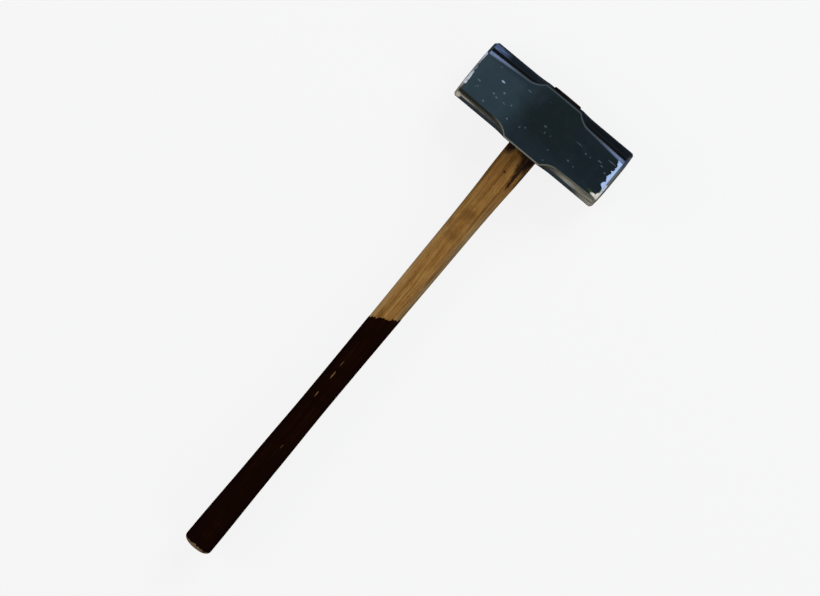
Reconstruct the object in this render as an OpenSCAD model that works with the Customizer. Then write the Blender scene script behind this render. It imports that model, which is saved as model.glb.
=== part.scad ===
// Double-faced sledgehammer lying on one cheek.
// X runs along the handle towards the top of the head, Y from striking face to striking face,
// Z up through the cheeks. The origin is the middle of the cheek that the head rests on.

/* [Head] */
// Length between the two striking faces
head_length = 186.4; // [170:0.2:220]
// Height of the head, measured along the handle
head_height = 71.2; // [64:0.2:80]
// How far the middle of the head lies towards its rear face from the middle of the eye
head_offset = 1.5; // [0:0.1:2]
// Depth from cheek to cheek
head_depth = 66; // [60:1:74]
// Length of the full-section block around the eye
block_length = 46; // [42:1:56]
// Length over which each cove runs out into the block
runout_length = 19; // [12:1:24]
// How far the arms' top and handle sides lie below those of the block
arm_step = 0.8; // [0:0.1:2]
// Width of the coves on the cheeks beside the block
cove_width = 8.2; // [6:0.2:10]
// Extra width of the two coves on the top side at the striking faces
top_cove_growth = 2.2; // [0:0.2:4]
// Extra width of the two coves on the handle side at the striking faces
low_cove_growth = 0.8; // [0:0.2:4]
// How hollow a cove is, from 0 for a flat chamfer to 1 for a full quarter scoop
cove_hollow = 0.8; // [0.2:0.05:0.9]
// Rounding of the cove edges on the block and beside it
block_edge = 1.8; // [1:0.1:2.4]
// Rounding of the cove edges at the striking faces, on the top side
top_edge = 4.2; // [2:0.1:5]
// Rounding of the cove edges at the striking faces, on the handle side
low_edge = 2.6; // [2:0.1:4]
// Bevel around each striking face
face_bevel = 2.2; // [1:0.1:4]
// How far the middle of each striking face stands out from its bevel
face_crown = 1.1; // [0:0.1:2]

/* [Eye] */
// Width of the eye where the handle enters it
eye_width = 33.6; // [30:0.2:34.4]
// Thickness of the eye where the handle enters it
eye_thickness = 25; // [20:0.5:26]
// How much narrower the waist of the eye is
eye_waist = 1.6; // [0.4:0.2:3]
// How much wider the top of the eye is than where the handle enters
eye_flare = 1.4; // [0.4:0.2:3]

/* [Handle] */
// Length of handle below the head
grip_length = 537; // [450:1:620]
// How far the end of the handle stands above the head
tongue_proud = 2.4; // [0.5:0.1:5]
// Height of the domed butt end
butt_dome = 8; // [4:0.5:14]
// Squareness of the oval section, 2 for an ellipse
oval_power = 2.3; // [2:0.1:3]

/* [Wedges] */
// Depth of the wooden wedge
wood_wedge_depth = 42; // [30:1:48]
// Thickness of the wooden wedge at its top
wood_wedge_thickness = 5; // [3:0.5:7]
// Depth of each steel wedge
steel_wedge_depth = 24; // [15:1:28]
// Thickness of each steel wedge at its top
steel_wedge_thickness = 4; // [2.5:0.5:5]
// Width of each steel wedge
steel_wedge_width = 17; // [12:1:19]
// Distance between the two steel wedges
steel_wedge_spacing = 15; // [12:1:18]

/* [Coating] */
// Thickness of the dipped coating on the grip
coat_thickness = 0.3; // [0.25:0.05:0.8]
// Distance from the head to the middle of the coating's upper edge
coat_start = 225; // [180:1:280]
// Slant of the coating's upper edge, as its rise per millimetre of width
coat_slant = 0.55; // [0:0.05:0.6]

/* [Hidden] */
half_length = head_length / 2;
half_height = head_height / 2;
half_depth = head_depth / 2;
half_block = block_length / 2;
arm_start = half_block + runout_length;
axis_height = half_depth;
tongue_end = half_height + tongue_proud;
// The coating and the wedges keep this gap from the wood, so that no two solids overlap
fit_gap = 0.02;
ring_points = 40;
tip_thickness = 0.8;

// Handle stations: distance below the head, width along Y, thickness along Z
handle_stations = [
    [-40, 35.2, 26.8],
    [0, 35.2, 26.8],
    [30, 34.2, 26.4],
    [60, 32.0, 25.6],
    [100, 30.4, 25.0],
    [150, 29.7, 24.6],
    [230, 28.2, 24.0],
    [340, 27.3, 23.6],
    [400, 28.7, 24.4],
    [450, 29.6, 25.2],
    [500, 31.2, 26.2],
    [540, 31.6, 26.6],
    [640, 31.6, 26.6]
];

function mix(a, b, t) = a + (b - a) * t;
function bezier(a, b, c, t) = mix(mix(a, b, t), mix(b, c, t), t);
function smooth(t) = t * t * (3 - 2 * t);

// Share of the full cove at a distance y from the middle: a steep step off the block that eases out
function cove_share(y) =
    let (t = max(0, min(1, (abs(y) - half_block) / runout_length)))
    1 - pow(1 - t, 2.3);

// Growth of the coves from the end of the run-out to the striking face
function arm_share(y) =
    max(0, min(1, (abs(y) - arm_start) / (half_length - arm_start)));

// One corner of the head's section, from the cheek's flat to the side's flat.
// growth is the extra cove width at the striking face, and edge is the rounding there.
function corner(y, growth, edge) =
    let (
        share = cove_share(y),
        side = half_height - arm_step * share,
        radius = mix(block_edge, edge, arm_share(y)),
        cut = mix(0.6, cove_width + growth * arm_share(y), share),
        drop = mix(0.6, cove_width + 0.5 * growth * arm_share(y), share),
        start = [side - cut, half_depth],
        end = [side, half_depth - drop],
        scoop = mix((start + end) / 2, [start[0], end[1]], cove_hollow * share),
        lead = 0.22
    )
    concat(
        [for (i = [0 : 3])
            bezier(start - [radius, 0], start, bezier(start, scoop, end, lead), i / 4)],
        [for (i = [0 : 5]) bezier(start, scoop, end, mix(lead, 1 - lead, i / 5))],
        [for (i = [1 : 4])
            bezier(bezier(start, scoop, end, 1 - lead), end, end - [0, radius * 0.7], i / 4)]
    );

function mirrored(points, sx, sz) =
    let (m = [for (p = points) [p[0] * sx, p[1] * sz]], n = len(m))
    sx * sz > 0 ? m : [for (i = [0 : n - 1]) m[n - 1 - i]];

// Whole section of the head at y, as [x, z] about the head's own axis
function head_section(y) =
    let (
        top = corner(y, top_cove_growth, top_edge),
        low = corner(y, low_cove_growth, low_edge)
    )
    concat(
        mirrored(top, 1, 1),
        mirrored(top, 1, -1),
        mirrored(low, -1, -1),
        mirrored(low, -1, 1)
    );

// Stations along one half of the head, from the middle block to the bevelled face
rim_end = half_length - face_crown;
head_steps = concat(
    [half_block],
    [for (i = [1 : 9]) half_block + runout_length * pow(i / 9, 1.5)],
    [for (i = [1 : 5]) mix(arm_start, rim_end - face_bevel, i / 5)]
);
face_steps = [1, 0.82, 0.65, 0.48, 0.3];

// Ring of the head at y, whose section is that at section_y drawn in by the shares given
function head_ring(y, section_y, share_x = 1, share_z = 1) =
    [for (p = head_section(section_y)) [p[0] * share_x, y, axis_height + p[1] * share_z]];

// Ring of a striking face at a share of its size: the crown is a parabola with a flat middle
function face_ring(side, share) =
    let (rise = face_crown * (1 - pow((share - 0.3) / 0.7, 2)))
    head_ring(side * (rim_end + rise), side * rim_end,
        share * (1 - face_bevel / half_height), share * (1 - face_bevel / half_depth));

head_rings = concat(
    [for (i = [len(face_steps) - 1 : -1 : 0]) face_ring(-1, face_steps[i])],
    [for (i = [len(head_steps) - 1 : -1 : 0]) head_ring(-head_steps[i], -head_steps[i])],
    [for (y = head_steps) head_ring(y, y)],
    [for (share = face_steps) face_ring(1, share)]
);

// Closed solid through a list of rings that all have the same number of points
module loft(rings) {
    count = len(rings[0]);
    last = len(rings) - 1;
    points = [for (ring = rings) for (p = ring) p];
    walls = [for (i = [0 : last - 1]) for (j = [0 : count - 1])
        let (k = (j + 1) % count)
        for (f = [
            [i * count + j, (i + 1) * count + k, i * count + k],
            [i * count + j, (i + 1) * count + j, (i + 1) * count + k]
        ]) f];
    caps = [
        [for (j = [0 : count - 1]) j],
        [for (j = [count - 1 : -1 : 0]) last * count + j]
    ];
    polyhedron(points, concat(walls, caps), convexity = 6);
}

// Oval ring across the handle at x, with half-sizes along Y and Z
function oval(x, half_y, half_z, power = oval_power) =
    [for (j = [0 : ring_points - 1])
        let (a = -360 * j / ring_points, c = cos(a), s = sin(a))
        [x, half_y * sign(c) * pow(abs(c), 2 / power),
            axis_height + half_z * sign(s) * pow(abs(s), 2 / power)]];

// Extra width of the eye over its entry: negative at the waist and positive at the top
function eye_change(x) =
    let (t = (x + half_height) / head_height)
    eye_flare * smooth(t) - eye_waist * 4 * t * (1 - t);

function eye_ring(x, gap = 0) =
    oval(x, (eye_width + eye_change(x)) / 2 - gap, (eye_thickness + eye_change(x)) / 2 - gap, 2.2);

// Value of one column of the handle stations at distance d, by Catmull-Rom
function station(d, column) =
    let (
        n = len(handle_stations),
        i = max([for (k = [1 : n - 3]) if (handle_stations[k][0] <= d || k == 1) k]),
        t = (d - handle_stations[i][0]) / (handle_stations[i + 1][0] - handle_stations[i][0]),
        a = handle_stations[i - 1][column],
        b = handle_stations[i][column],
        c = handle_stations[i + 1][column],
        e = handle_stations[i + 2][column],
        span = handle_stations[i + 1][0] - handle_stations[i][0],
        mb = (c - a) / (handle_stations[i + 1][0] - handle_stations[i - 1][0]) * span,
        mc = (e - b) / (handle_stations[i + 2][0] - handle_stations[i][0]) * span
    )
    (2 * t * t * t - 3 * t * t + 1) * b + (t * t * t - 2 * t * t + t) * mb
        + (3 * t * t - 2 * t * t * t) * c + (t * t * t - t * t) * mc;

// Way along the domed butt, from 0 where it starts to 1 at its tip
function dome_way(d) = max(0, (d - (grip_length - butt_dome)) / butt_dome);

// Shrink of the section over the domed butt, 1 where it starts and 0 at its tip
function dome(d) = pow(max(0, 1 - pow(dome_way(d), 2.4)), 1 / 2.4);

// Handle ring at distance d below the head, grown outwards by skin, and endwards too on the dome
function handle_ring(d, skin = 0) =
    let (shrink = dome(d))
    oval(-half_height - d - skin * dome_way(d),
        station(d, 1) / 2 * shrink + skin, station(d, 2) / 2 * shrink + skin);

// Distances of the rings over the butt's dome, close together towards its tip
dome_steps = [for (i = [1 : 6]) grip_length - butt_dome * (1 - sin(15 * i) * 0.985)];

module head() {
    color("#22303a")
        difference() {
            translate([0, head_offset, 0])
                loft(head_rings);
            loft([for (i = [-1 : 9]) eye_ring(half_height - head_height * i / 8)]);
        }
}

// Blank of the wooden wedge, or its slot where gap is above 0
module wooden_wedge_shape(gap) {
    translate([0, 0, axis_height])
        rotate([90, 0, 0])
            linear_extrude(height = eye_width + 8, center = true)
                polygon([
                    [tongue_end + 1, wood_wedge_thickness / 2 + gap],
                    [tongue_end + 1, -wood_wedge_thickness / 2 - gap],
                    [tongue_end - wood_wedge_depth - gap, -tip_thickness / 2 - gap],
                    [tongue_end - wood_wedge_depth - gap, tip_thickness / 2 + gap]
                ]);
}

// Steel wedge across the eye, with side as 1 or -1 along Y
module steel_wedge_shape(side, gap) {
    translate([0, side * steel_wedge_spacing / 2, axis_height])
        linear_extrude(height = steel_wedge_width + 2 * gap, center = true)
            polygon([
                [tongue_end, steel_wedge_thickness / 2 + gap],
                [tongue_end, -steel_wedge_thickness / 2 - gap],
                [tongue_end - steel_wedge_depth - gap, -tip_thickness / 2 - gap],
                [tongue_end - steel_wedge_depth - gap, tip_thickness / 2 + gap]
            ]);
}

// Space above the end of the handle, which trims the wedge slots open at the top
module steel_wedge_slot(side) {
    steel_wedge_shape(side, fit_gap);
    translate([tongue_end + 1, side * steel_wedge_spacing / 2, axis_height])
        cube([2.02, steel_wedge_thickness + 2 * fit_gap, steel_wedge_width + 2 * fit_gap],
            center = true);
}

// Wood that fills the eye, from the head's underside to just above its top
module tongue() {
    loft(concat(
        [oval(tongue_end, (eye_width + eye_flare) / 2 - 0.9, (eye_thickness + eye_flare) / 2 - 0.9, 2.2)],
        [oval(tongue_end - 0.8, (eye_width + eye_flare) / 2 - 0.1,
            (eye_thickness + eye_flare) / 2 - 0.1, 2.2)],
        [for (i = [0 : 8]) eye_ring(half_height - head_height * i / 8, fit_gap)],
        [for (d = [0, 10, 20, 30, 45, 60, 80, 100, 125, 150, 190, 230, 270, 310, 340, 370, 385, 400,
            415, 430, 450, 470, 490, 510, grip_length - butt_dome]) handle_ring(d)],
        [for (d = dome_steps) handle_ring(d)]
    ));
}

module handle() {
    color("#8a6334")
        difference() {
            tongue();
            wooden_wedge_shape(fit_gap);
            for (side = [-1, 1])
                steel_wedge_slot(side);
        }
}

// The wooden wedge is cut to the oval of the handle's end and split by the steel wedges
module wood_wedge() {
    color("#b08a55")
        difference() {
            intersection() {
                wooden_wedge_shape(0);
                translate([tongue_end - wood_wedge_depth / 2, 0, axis_height])
                    cube([wood_wedge_depth, eye_width - 3, wood_wedge_thickness], center = true);
            }
            for (side = [-1, 1])
                steel_wedge_slot(side);
        }
}

module steel_wedge_front() {
    color("#8d9093")
        steel_wedge_shape(-1, 0);
}

module steel_wedge_rear() {
    color("#8d9093")
        steel_wedge_shape(1, 0);
}

// Slanted ring of the coating: its upper edge follows the slant, and the slant fades out below
function coat_ring(t, skin) =
    [for (j = [0 : ring_points - 1])
        let (
            level = mix(coat_start, grip_length - butt_dome, t),
            flat = handle_ring(level, skin)[j],
            d = level + flat[1] * coat_slant * (1 - t)
        )
        handle_ring(d, skin)[j]];

// Dipped film: an outer skin down over the butt, and an inner one back up against the wood
module grip_coating() {
    color("#1a0c07")
        difference() {
            loft(concat(
                [for (i = [0 : 12]) coat_ring(i / 12, coat_thickness)],
                [for (d = dome_steps) handle_ring(d, coat_thickness)]
            ));
            loft(concat(
                [[for (p = coat_ring(0, fit_gap)) p + [20, 0, 0]]],
                [for (i = [0 : 12]) coat_ring(i / 12, fit_gap)],
                [for (d = dome_steps) handle_ring(d, fit_gap)]
            ));
        }
}

head();
handle();
wood_wedge();
steel_wedge_front();
steel_wedge_rear();
grip_coating();
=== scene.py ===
"""Double-faced sledgehammer lying on one cheek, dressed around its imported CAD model.

X runs along the handle towards the top of the head, Y from striking face to striking face and Z up
through the cheeks. Lengths are in metres unless a name ends in _mm.
"""

import logging
import math
from dataclasses import dataclass, field
from enum import Enum
from functools import reduce

import bmesh
import bpy
import numpy as np
from mathutils import Matrix, Vector


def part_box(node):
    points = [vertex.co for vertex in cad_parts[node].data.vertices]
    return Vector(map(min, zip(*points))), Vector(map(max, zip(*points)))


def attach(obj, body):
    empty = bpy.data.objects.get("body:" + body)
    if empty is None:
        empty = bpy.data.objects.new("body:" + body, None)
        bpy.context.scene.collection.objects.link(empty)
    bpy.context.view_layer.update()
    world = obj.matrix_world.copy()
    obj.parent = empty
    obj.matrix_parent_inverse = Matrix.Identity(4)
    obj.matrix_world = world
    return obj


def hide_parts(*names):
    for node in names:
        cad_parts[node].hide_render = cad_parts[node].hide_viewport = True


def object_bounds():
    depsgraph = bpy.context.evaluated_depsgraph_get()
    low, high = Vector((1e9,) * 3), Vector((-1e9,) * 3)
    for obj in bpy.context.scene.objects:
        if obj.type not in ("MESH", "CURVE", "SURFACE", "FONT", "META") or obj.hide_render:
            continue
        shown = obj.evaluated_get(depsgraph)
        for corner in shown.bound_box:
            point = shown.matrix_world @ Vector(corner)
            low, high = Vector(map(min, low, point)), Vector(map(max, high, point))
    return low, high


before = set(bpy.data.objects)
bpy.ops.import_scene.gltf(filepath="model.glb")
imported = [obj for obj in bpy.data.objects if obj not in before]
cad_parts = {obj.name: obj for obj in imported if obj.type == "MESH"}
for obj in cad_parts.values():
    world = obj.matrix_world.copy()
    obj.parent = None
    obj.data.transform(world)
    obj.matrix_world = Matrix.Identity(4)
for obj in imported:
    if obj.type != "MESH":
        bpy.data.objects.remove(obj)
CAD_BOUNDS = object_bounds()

LOG = logging.getLogger("sledgehammer")
MM = 0.001
BODY = "root"
UPPER_CHEEK = CAD_BOUNDS[1][2]
# How far a mark reaches down from the upper cheek, and the noise scale for a mark 1 mm in size
MARK_DEPTH = 0.05
MARK_GRIT = 900.0
RGB = tuple[float, float, float]
# A node's output, and what an input may be fed with: an output, a number or a tuple
Output = bpy.types.NodeSocket
Feed = Output | float | tuple[float, ...]


# ------------------------------------------------------------------ mesh helpers


def mix(a: np.ndarray | float, b: np.ndarray | float, t: np.ndarray | float) -> np.ndarray:
    """Straight blend: a where t is 0 and b where t is 1."""
    return a + (b - a) * t


def bezier(a: np.ndarray, b: np.ndarray, c: np.ndarray, t: np.ndarray) -> np.ndarray:
    """Quadratic Bezier from a to c with b as its control: a blend of two straight blends."""
    return mix(mix(a, b, t), mix(b, c, t), t)


def ease(t: np.ndarray) -> np.ndarray:
    """Smooth step: 3 t squared less 2 t cubed, with t held between 0 and 1."""
    t = np.clip(t, 0.0, 1.0)
    return t * t * (3.0 - 2.0 * t)


def ripple(x: np.ndarray, seed: int, octaves: int, base: float) -> np.ndarray:
    """Smooth noise along x: a sum of sines, each 1.9 times as fine as the last and 0.62 as high.

    Args:
        x: where the noise is read; it repeats with every whole unit.
        seed: picks the phases, so that the same seed gives the same noise.
        octaves: how many sines are added.
        base: how many whole waves the longest sine has per unit of x.

    Returns:
        Values of about -1 to 1, in the shape of x.
    """
    rng = np.random.default_rng(seed)
    phases = rng.uniform(0.0, 2.0 * math.pi, octaves)
    pitch = base * np.round(1.9 ** np.arange(octaves))
    height = 0.62 ** np.arange(octaves)
    waves = np.sin(2.0 * math.pi * np.multiply.outer(x, pitch) + phases)
    return (waves * height).sum(axis=-1) / height.sum() * 1.6


def grid_quads(rows: int, columns: int, closed: bool, offset: int) -> np.ndarray:
    """Quads over a grid of rows by columns that is stored row by row.

    Args:
        rows: number of rows of points.
        columns: number of points in a row.
        closed: joins the last column to the first.
        offset: index of the grid's first point.

    Returns:
        An array of four point indices for each quad.
    """
    i = np.arange(rows - 1)[:, None]
    j = np.arange(columns if closed else columns - 1)[None, :]
    k = (j + 1) % columns
    here, below = i * columns, (i + 1) * columns
    return np.stack([here + j, here + k, below + k, below + j], axis=-1).reshape(-1, 4) + offset


@dataclass
class Patchwork:
    """Grids of points that are welded into one closed mesh, with masks carried on the points."""

    points: list[np.ndarray] = field(default_factory=list)
    quads: list[np.ndarray] = field(default_factory=list)
    masks: dict[str, list[np.ndarray]] = field(default_factory=dict)
    count: int = 0

    def add(
        self,
        grid: np.ndarray,
        closed: bool,
        skip: np.ndarray | None = None,
        **masks: np.ndarray | float,
    ) -> None:
        """Adds one grid.

        Args:
            grid: points, as rows by columns by 3.
            closed: joins the last column to the first.
            skip: True for each quad that is left out, in the order of grid_quads.
            masks: a value for each point, by name, or one value for all of them.
        """
        rows, columns = grid.shape[:2]
        quads = grid_quads(rows, columns, closed, self.count)
        self.quads.append(quads if skip is None else quads[~skip])
        self.points.append(grid.reshape(-1, 3))
        for name, values in masks.items():
            spread = np.broadcast_to(np.asarray(values, float), (rows, columns))
            self.masks.setdefault(name, []).append(spread.reshape(-1))
        self.count += rows * columns

    def build(self, name: str, weld: float = 2e-6) -> bpy.types.Object:
        """Welds the grids and turns the faces outwards.

        Args:
            name: the new object's name.
            weld: points closer than this become one.

        Returns:
            A smooth-shaded object with its place in its mesh.
        """
        points, quads = np.concatenate(self.points), np.concatenate(self.quads)
        mesh = bpy.data.meshes.new(name)
        mesh.vertices.add(len(points))
        mesh.vertices.foreach_set("co", points.astype(np.float32).ravel())
        mesh.loops.add(quads.size)
        mesh.loops.foreach_set("vertex_index", quads.astype(np.int32).ravel())
        mesh.polygons.add(len(quads))
        mesh.polygons.foreach_set("loop_start", np.arange(0, quads.size, 4, dtype=np.int32))
        mesh.update(calc_edges=True)
        for mask, parts in self.masks.items():
            layer = mesh.attributes.new(mask, "FLOAT", "POINT")
            layer.data.foreach_set("value", np.concatenate(parts).astype(np.float32))
        shell = bmesh.new()
        shell.from_mesh(mesh)
        bmesh.ops.remove_doubles(shell, verts=shell.verts, dist=weld)
        bmesh.ops.dissolve_degenerate(shell, edges=shell.edges, dist=weld / 4)
        bmesh.ops.recalc_face_normals(shell, faces=shell.faces)
        shell.to_mesh(mesh)
        shell.free()
        mesh.polygons.foreach_set("use_smooth", np.ones(len(mesh.polygons), bool))
        mesh.update()
        piece = bpy.data.objects.new(name, mesh)
        bpy.context.scene.collection.objects.link(piece)
        return piece


def oval(turn: np.ndarray, half_y: np.ndarray, half_z: np.ndarray, power: float) -> np.ndarray:
    """Superellipse across the handle: each of cosine and sine is raised to 2 over power.

    Args:
        turn: angles round the section, in radians.
        half_y: half-width along Y, one per row.
        half_z: half-thickness along Z, one per row.
        power: 2 for an ellipse, more for a squarer oval.

    Returns:
        Rows by angles by 2, as Y and Z about the handle's axis.
    """
    c, s = np.cos(turn), np.sin(turn)
    shape_y = np.sign(c) * np.abs(c) ** (2.0 / power)
    shape_z = np.sign(s) * np.abs(s) ** (2.0 / power)
    return np.stack([np.multiply.outer(half_y, shape_y), np.multiply.outer(half_z, shape_z)], -1)


# ------------------------------------------------------------------ shader helpers


class Tree:
    """Short ways to add and link nodes in one shader tree."""

    def __init__(self, tree: bpy.types.NodeTree) -> None:
        """Starts on an existing tree."""
        self.tree = tree

    def put(self, socket: Output, value: Feed) -> None:
        """Links an output to a socket, or sets the socket's own value.

        Args:
            socket: the input.
            value: an output, a number or a tuple; a colour may leave out its alpha.
        """
        if isinstance(value, bpy.types.NodeSocket):
            self.tree.links.new(value, socket)
        elif socket.type == "RGBA" and len(value) == 3:
            socket.default_value = (*value, 1.0)
        else:
            socket.default_value = value

    def node(
        self, kind: str, values: dict[int | str, Feed] | None = None, **settings: object
    ) -> bpy.types.Node:
        """Adds a node.

        Args:
            kind: the node's type name without its ShaderNode prefix.
            values: a link or a value for each input, by its name or its number.
            settings: properties to set on the node.

        Returns:
            The new node.
        """
        made = self.tree.nodes.new(f"ShaderNode{kind}")
        for name, value in settings.items():
            setattr(made, name, value)
        for socket, value in (values or {}).items():
            self.put(made.inputs[socket], value)
        return made

    def math(self, operation: str, a: Feed, b: Feed = 0.0) -> Output:
        """Result of a Math node."""
        return self.node("Math", {0: a, 1: b}, operation=operation).outputs[0]

    def times(self, *values: Feed) -> Output:
        """Product of the values, taken in order."""
        return reduce(lambda a, b: self.math("MULTIPLY", a, b), values)

    def plus(self, *values: Feed) -> Output:
        """Sum of the values, taken in order."""
        return reduce(lambda a, b: self.math("ADD", a, b), values)

    def most(self, *values: Feed) -> Output:
        """Largest of the values."""
        return reduce(lambda a, b: self.math("MAXIMUM", a, b), values)

    def minus(self, a: Feed, b: Feed) -> Output:
        """Difference of a less b."""
        return self.math("SUBTRACT", a, b)

    def unsigned(self, value: Feed) -> Output:
        """The value without its sign."""
        return self.math("ABSOLUTE", value)

    def vector(self, operation: str, a: Feed, b: Feed) -> Output:
        """Result of a Vector Math node."""
        return self.node("VectorMath", {0: a, 1: b}, operation=operation).outputs[0]

    def noise(self, vector: Feed, scale: Feed, detail: float = 3.0, rough: float = 0.55) -> Output:
        """Value of a noise texture."""
        values = {"Vector": vector, "Scale": scale, "Detail": detail, "Roughness": rough}
        return self.node("TexNoise", values).outputs["Fac"]

    def drawn(self, vector: Feed, scale: RGB, detail: float, rough: float) -> Output:
        """Value of a noise texture with a scale of its own along each axis."""
        return self.noise(self.vector("MULTIPLY", vector, scale), 1.0, detail, rough)

    def band(self, value: Feed, low: Feed, high: Feed) -> Output:
        """Smooth step that is 0 at low and 1 at high."""
        values = {"Value": value, "From Min": low, "From Max": high}
        return self.node("MapRange", values, interpolation_type="SMOOTHSTEP").outputs["Result"]

    def blend(self, share: Feed, a: Feed, b: Feed) -> Output:
        """Colour a where share is 0 and b where it is 1."""
        return self.node("Mix", {"Factor": share, "A": a, "B": b}, data_type="RGBA").outputs["Result"]

    def blend_value(self, share: Feed, a: Feed, b: Feed) -> Output:
        """Number a where share is 0 and b where it is 1."""
        return self.node("Mix", {"Factor": share, "A": a, "B": b}, data_type="FLOAT").outputs["Result"]

    def apart(self, vector: Feed) -> tuple[Output, ...]:
        """X, Y and Z of a vector."""
        return tuple(self.node("SeparateXYZ", {0: vector}).outputs)

    def group(self, effect: bpy.types.NodeTree, **values: Feed) -> dict[str, Output]:
        """Places a node group with a link or a value for each named input; gives its outputs by name."""
        return {socket.name: socket for socket in self.node("Group", values, node_tree=effect).outputs}

    def ramp(self, value: Feed, stops: list[tuple[float, RGB]]) -> Output:
        """Adds a colour ramp.

        Args:
            value: where the ramp is read, from 0 to 1.
            stops: places in rising order, and the colour at each.

        Returns:
            The ramp's colour.
        """
        made = self.node("ValToRGB", {0: value})
        elements = made.color_ramp.elements
        while len(elements) < len(stops):
            elements.new(0.5)
        for element, (place, colour) in zip(elements, stops):
            element.position = place
            element.color = (*colour, 1.0)
        return made.outputs[0]

    def ramp_along(self, value: Feed, stops_mm: tuple[tuple[float, RGB], ...]) -> Output:
        """Adds a colour ramp over a coordinate.

        Args:
            value: the coordinate, in metres.
            stops_mm: places in millimetres, in rising order, and the colour at each.

        Returns:
            The ramp's colour.
        """
        low, high = stops_mm[0][0] * MM, stops_mm[-1][0] * MM
        share = self.node("MapRange", {"Value": value, "From Min": low, "From Max": high})
        placed = [((at * MM - low) / (high - low), colour) for at, colour in stops_mm]
        return self.ramp(share.outputs["Result"], placed)

    def width_along(self, value: Feed, stops_mm: tuple[tuple[float, float], ...]) -> Output:
        """Reads a width that changes along a coordinate.

        Args:
            value: the coordinate, in metres.
            stops_mm: places in rising order and the width at each, both in millimetres.

        Returns:
            The width in metres.
        """
        widest = max(width for _, width in stops_mm)
        greys = tuple((at, (width / widest,) * 3) for at, width in stops_mm)
        return self.times(self.ramp_along(value, greys), widest * MM)


def new_effect(
    name: str, inputs: dict[str, float | RGB], *outputs: str
) -> tuple[Tree, dict[str, Output], bpy.types.Node]:
    """Starts a shader node group that puts out values.

    Args:
        name: the group's name.
        inputs: each input's name and default, after the Vector that every group has; a tuple
            makes it a vector.
        outputs: each output's name.

    Returns:
        The group's tree, its inputs by name and its output node.
    """
    tree = bpy.data.node_groups.new(name, "ShaderNodeTree")
    inputs = {"Vector": (0.0, 0.0, 0.0)} | inputs
    for label, default in inputs.items():
        kind = "NodeSocketVector" if isinstance(default, tuple) else "NodeSocketFloat"
        tree.interface.new_socket(name=label, in_out="INPUT", socket_type=kind).default_value = default
    for label in outputs:
        tree.interface.new_socket(name=label, in_out="OUTPUT", socket_type="NodeSocketFloat")
    given = tree.nodes.new("NodeGroupInput").outputs
    return Tree(tree), {label: given[label] for label in inputs}, tree.nodes.new("NodeGroupOutput")


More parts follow.
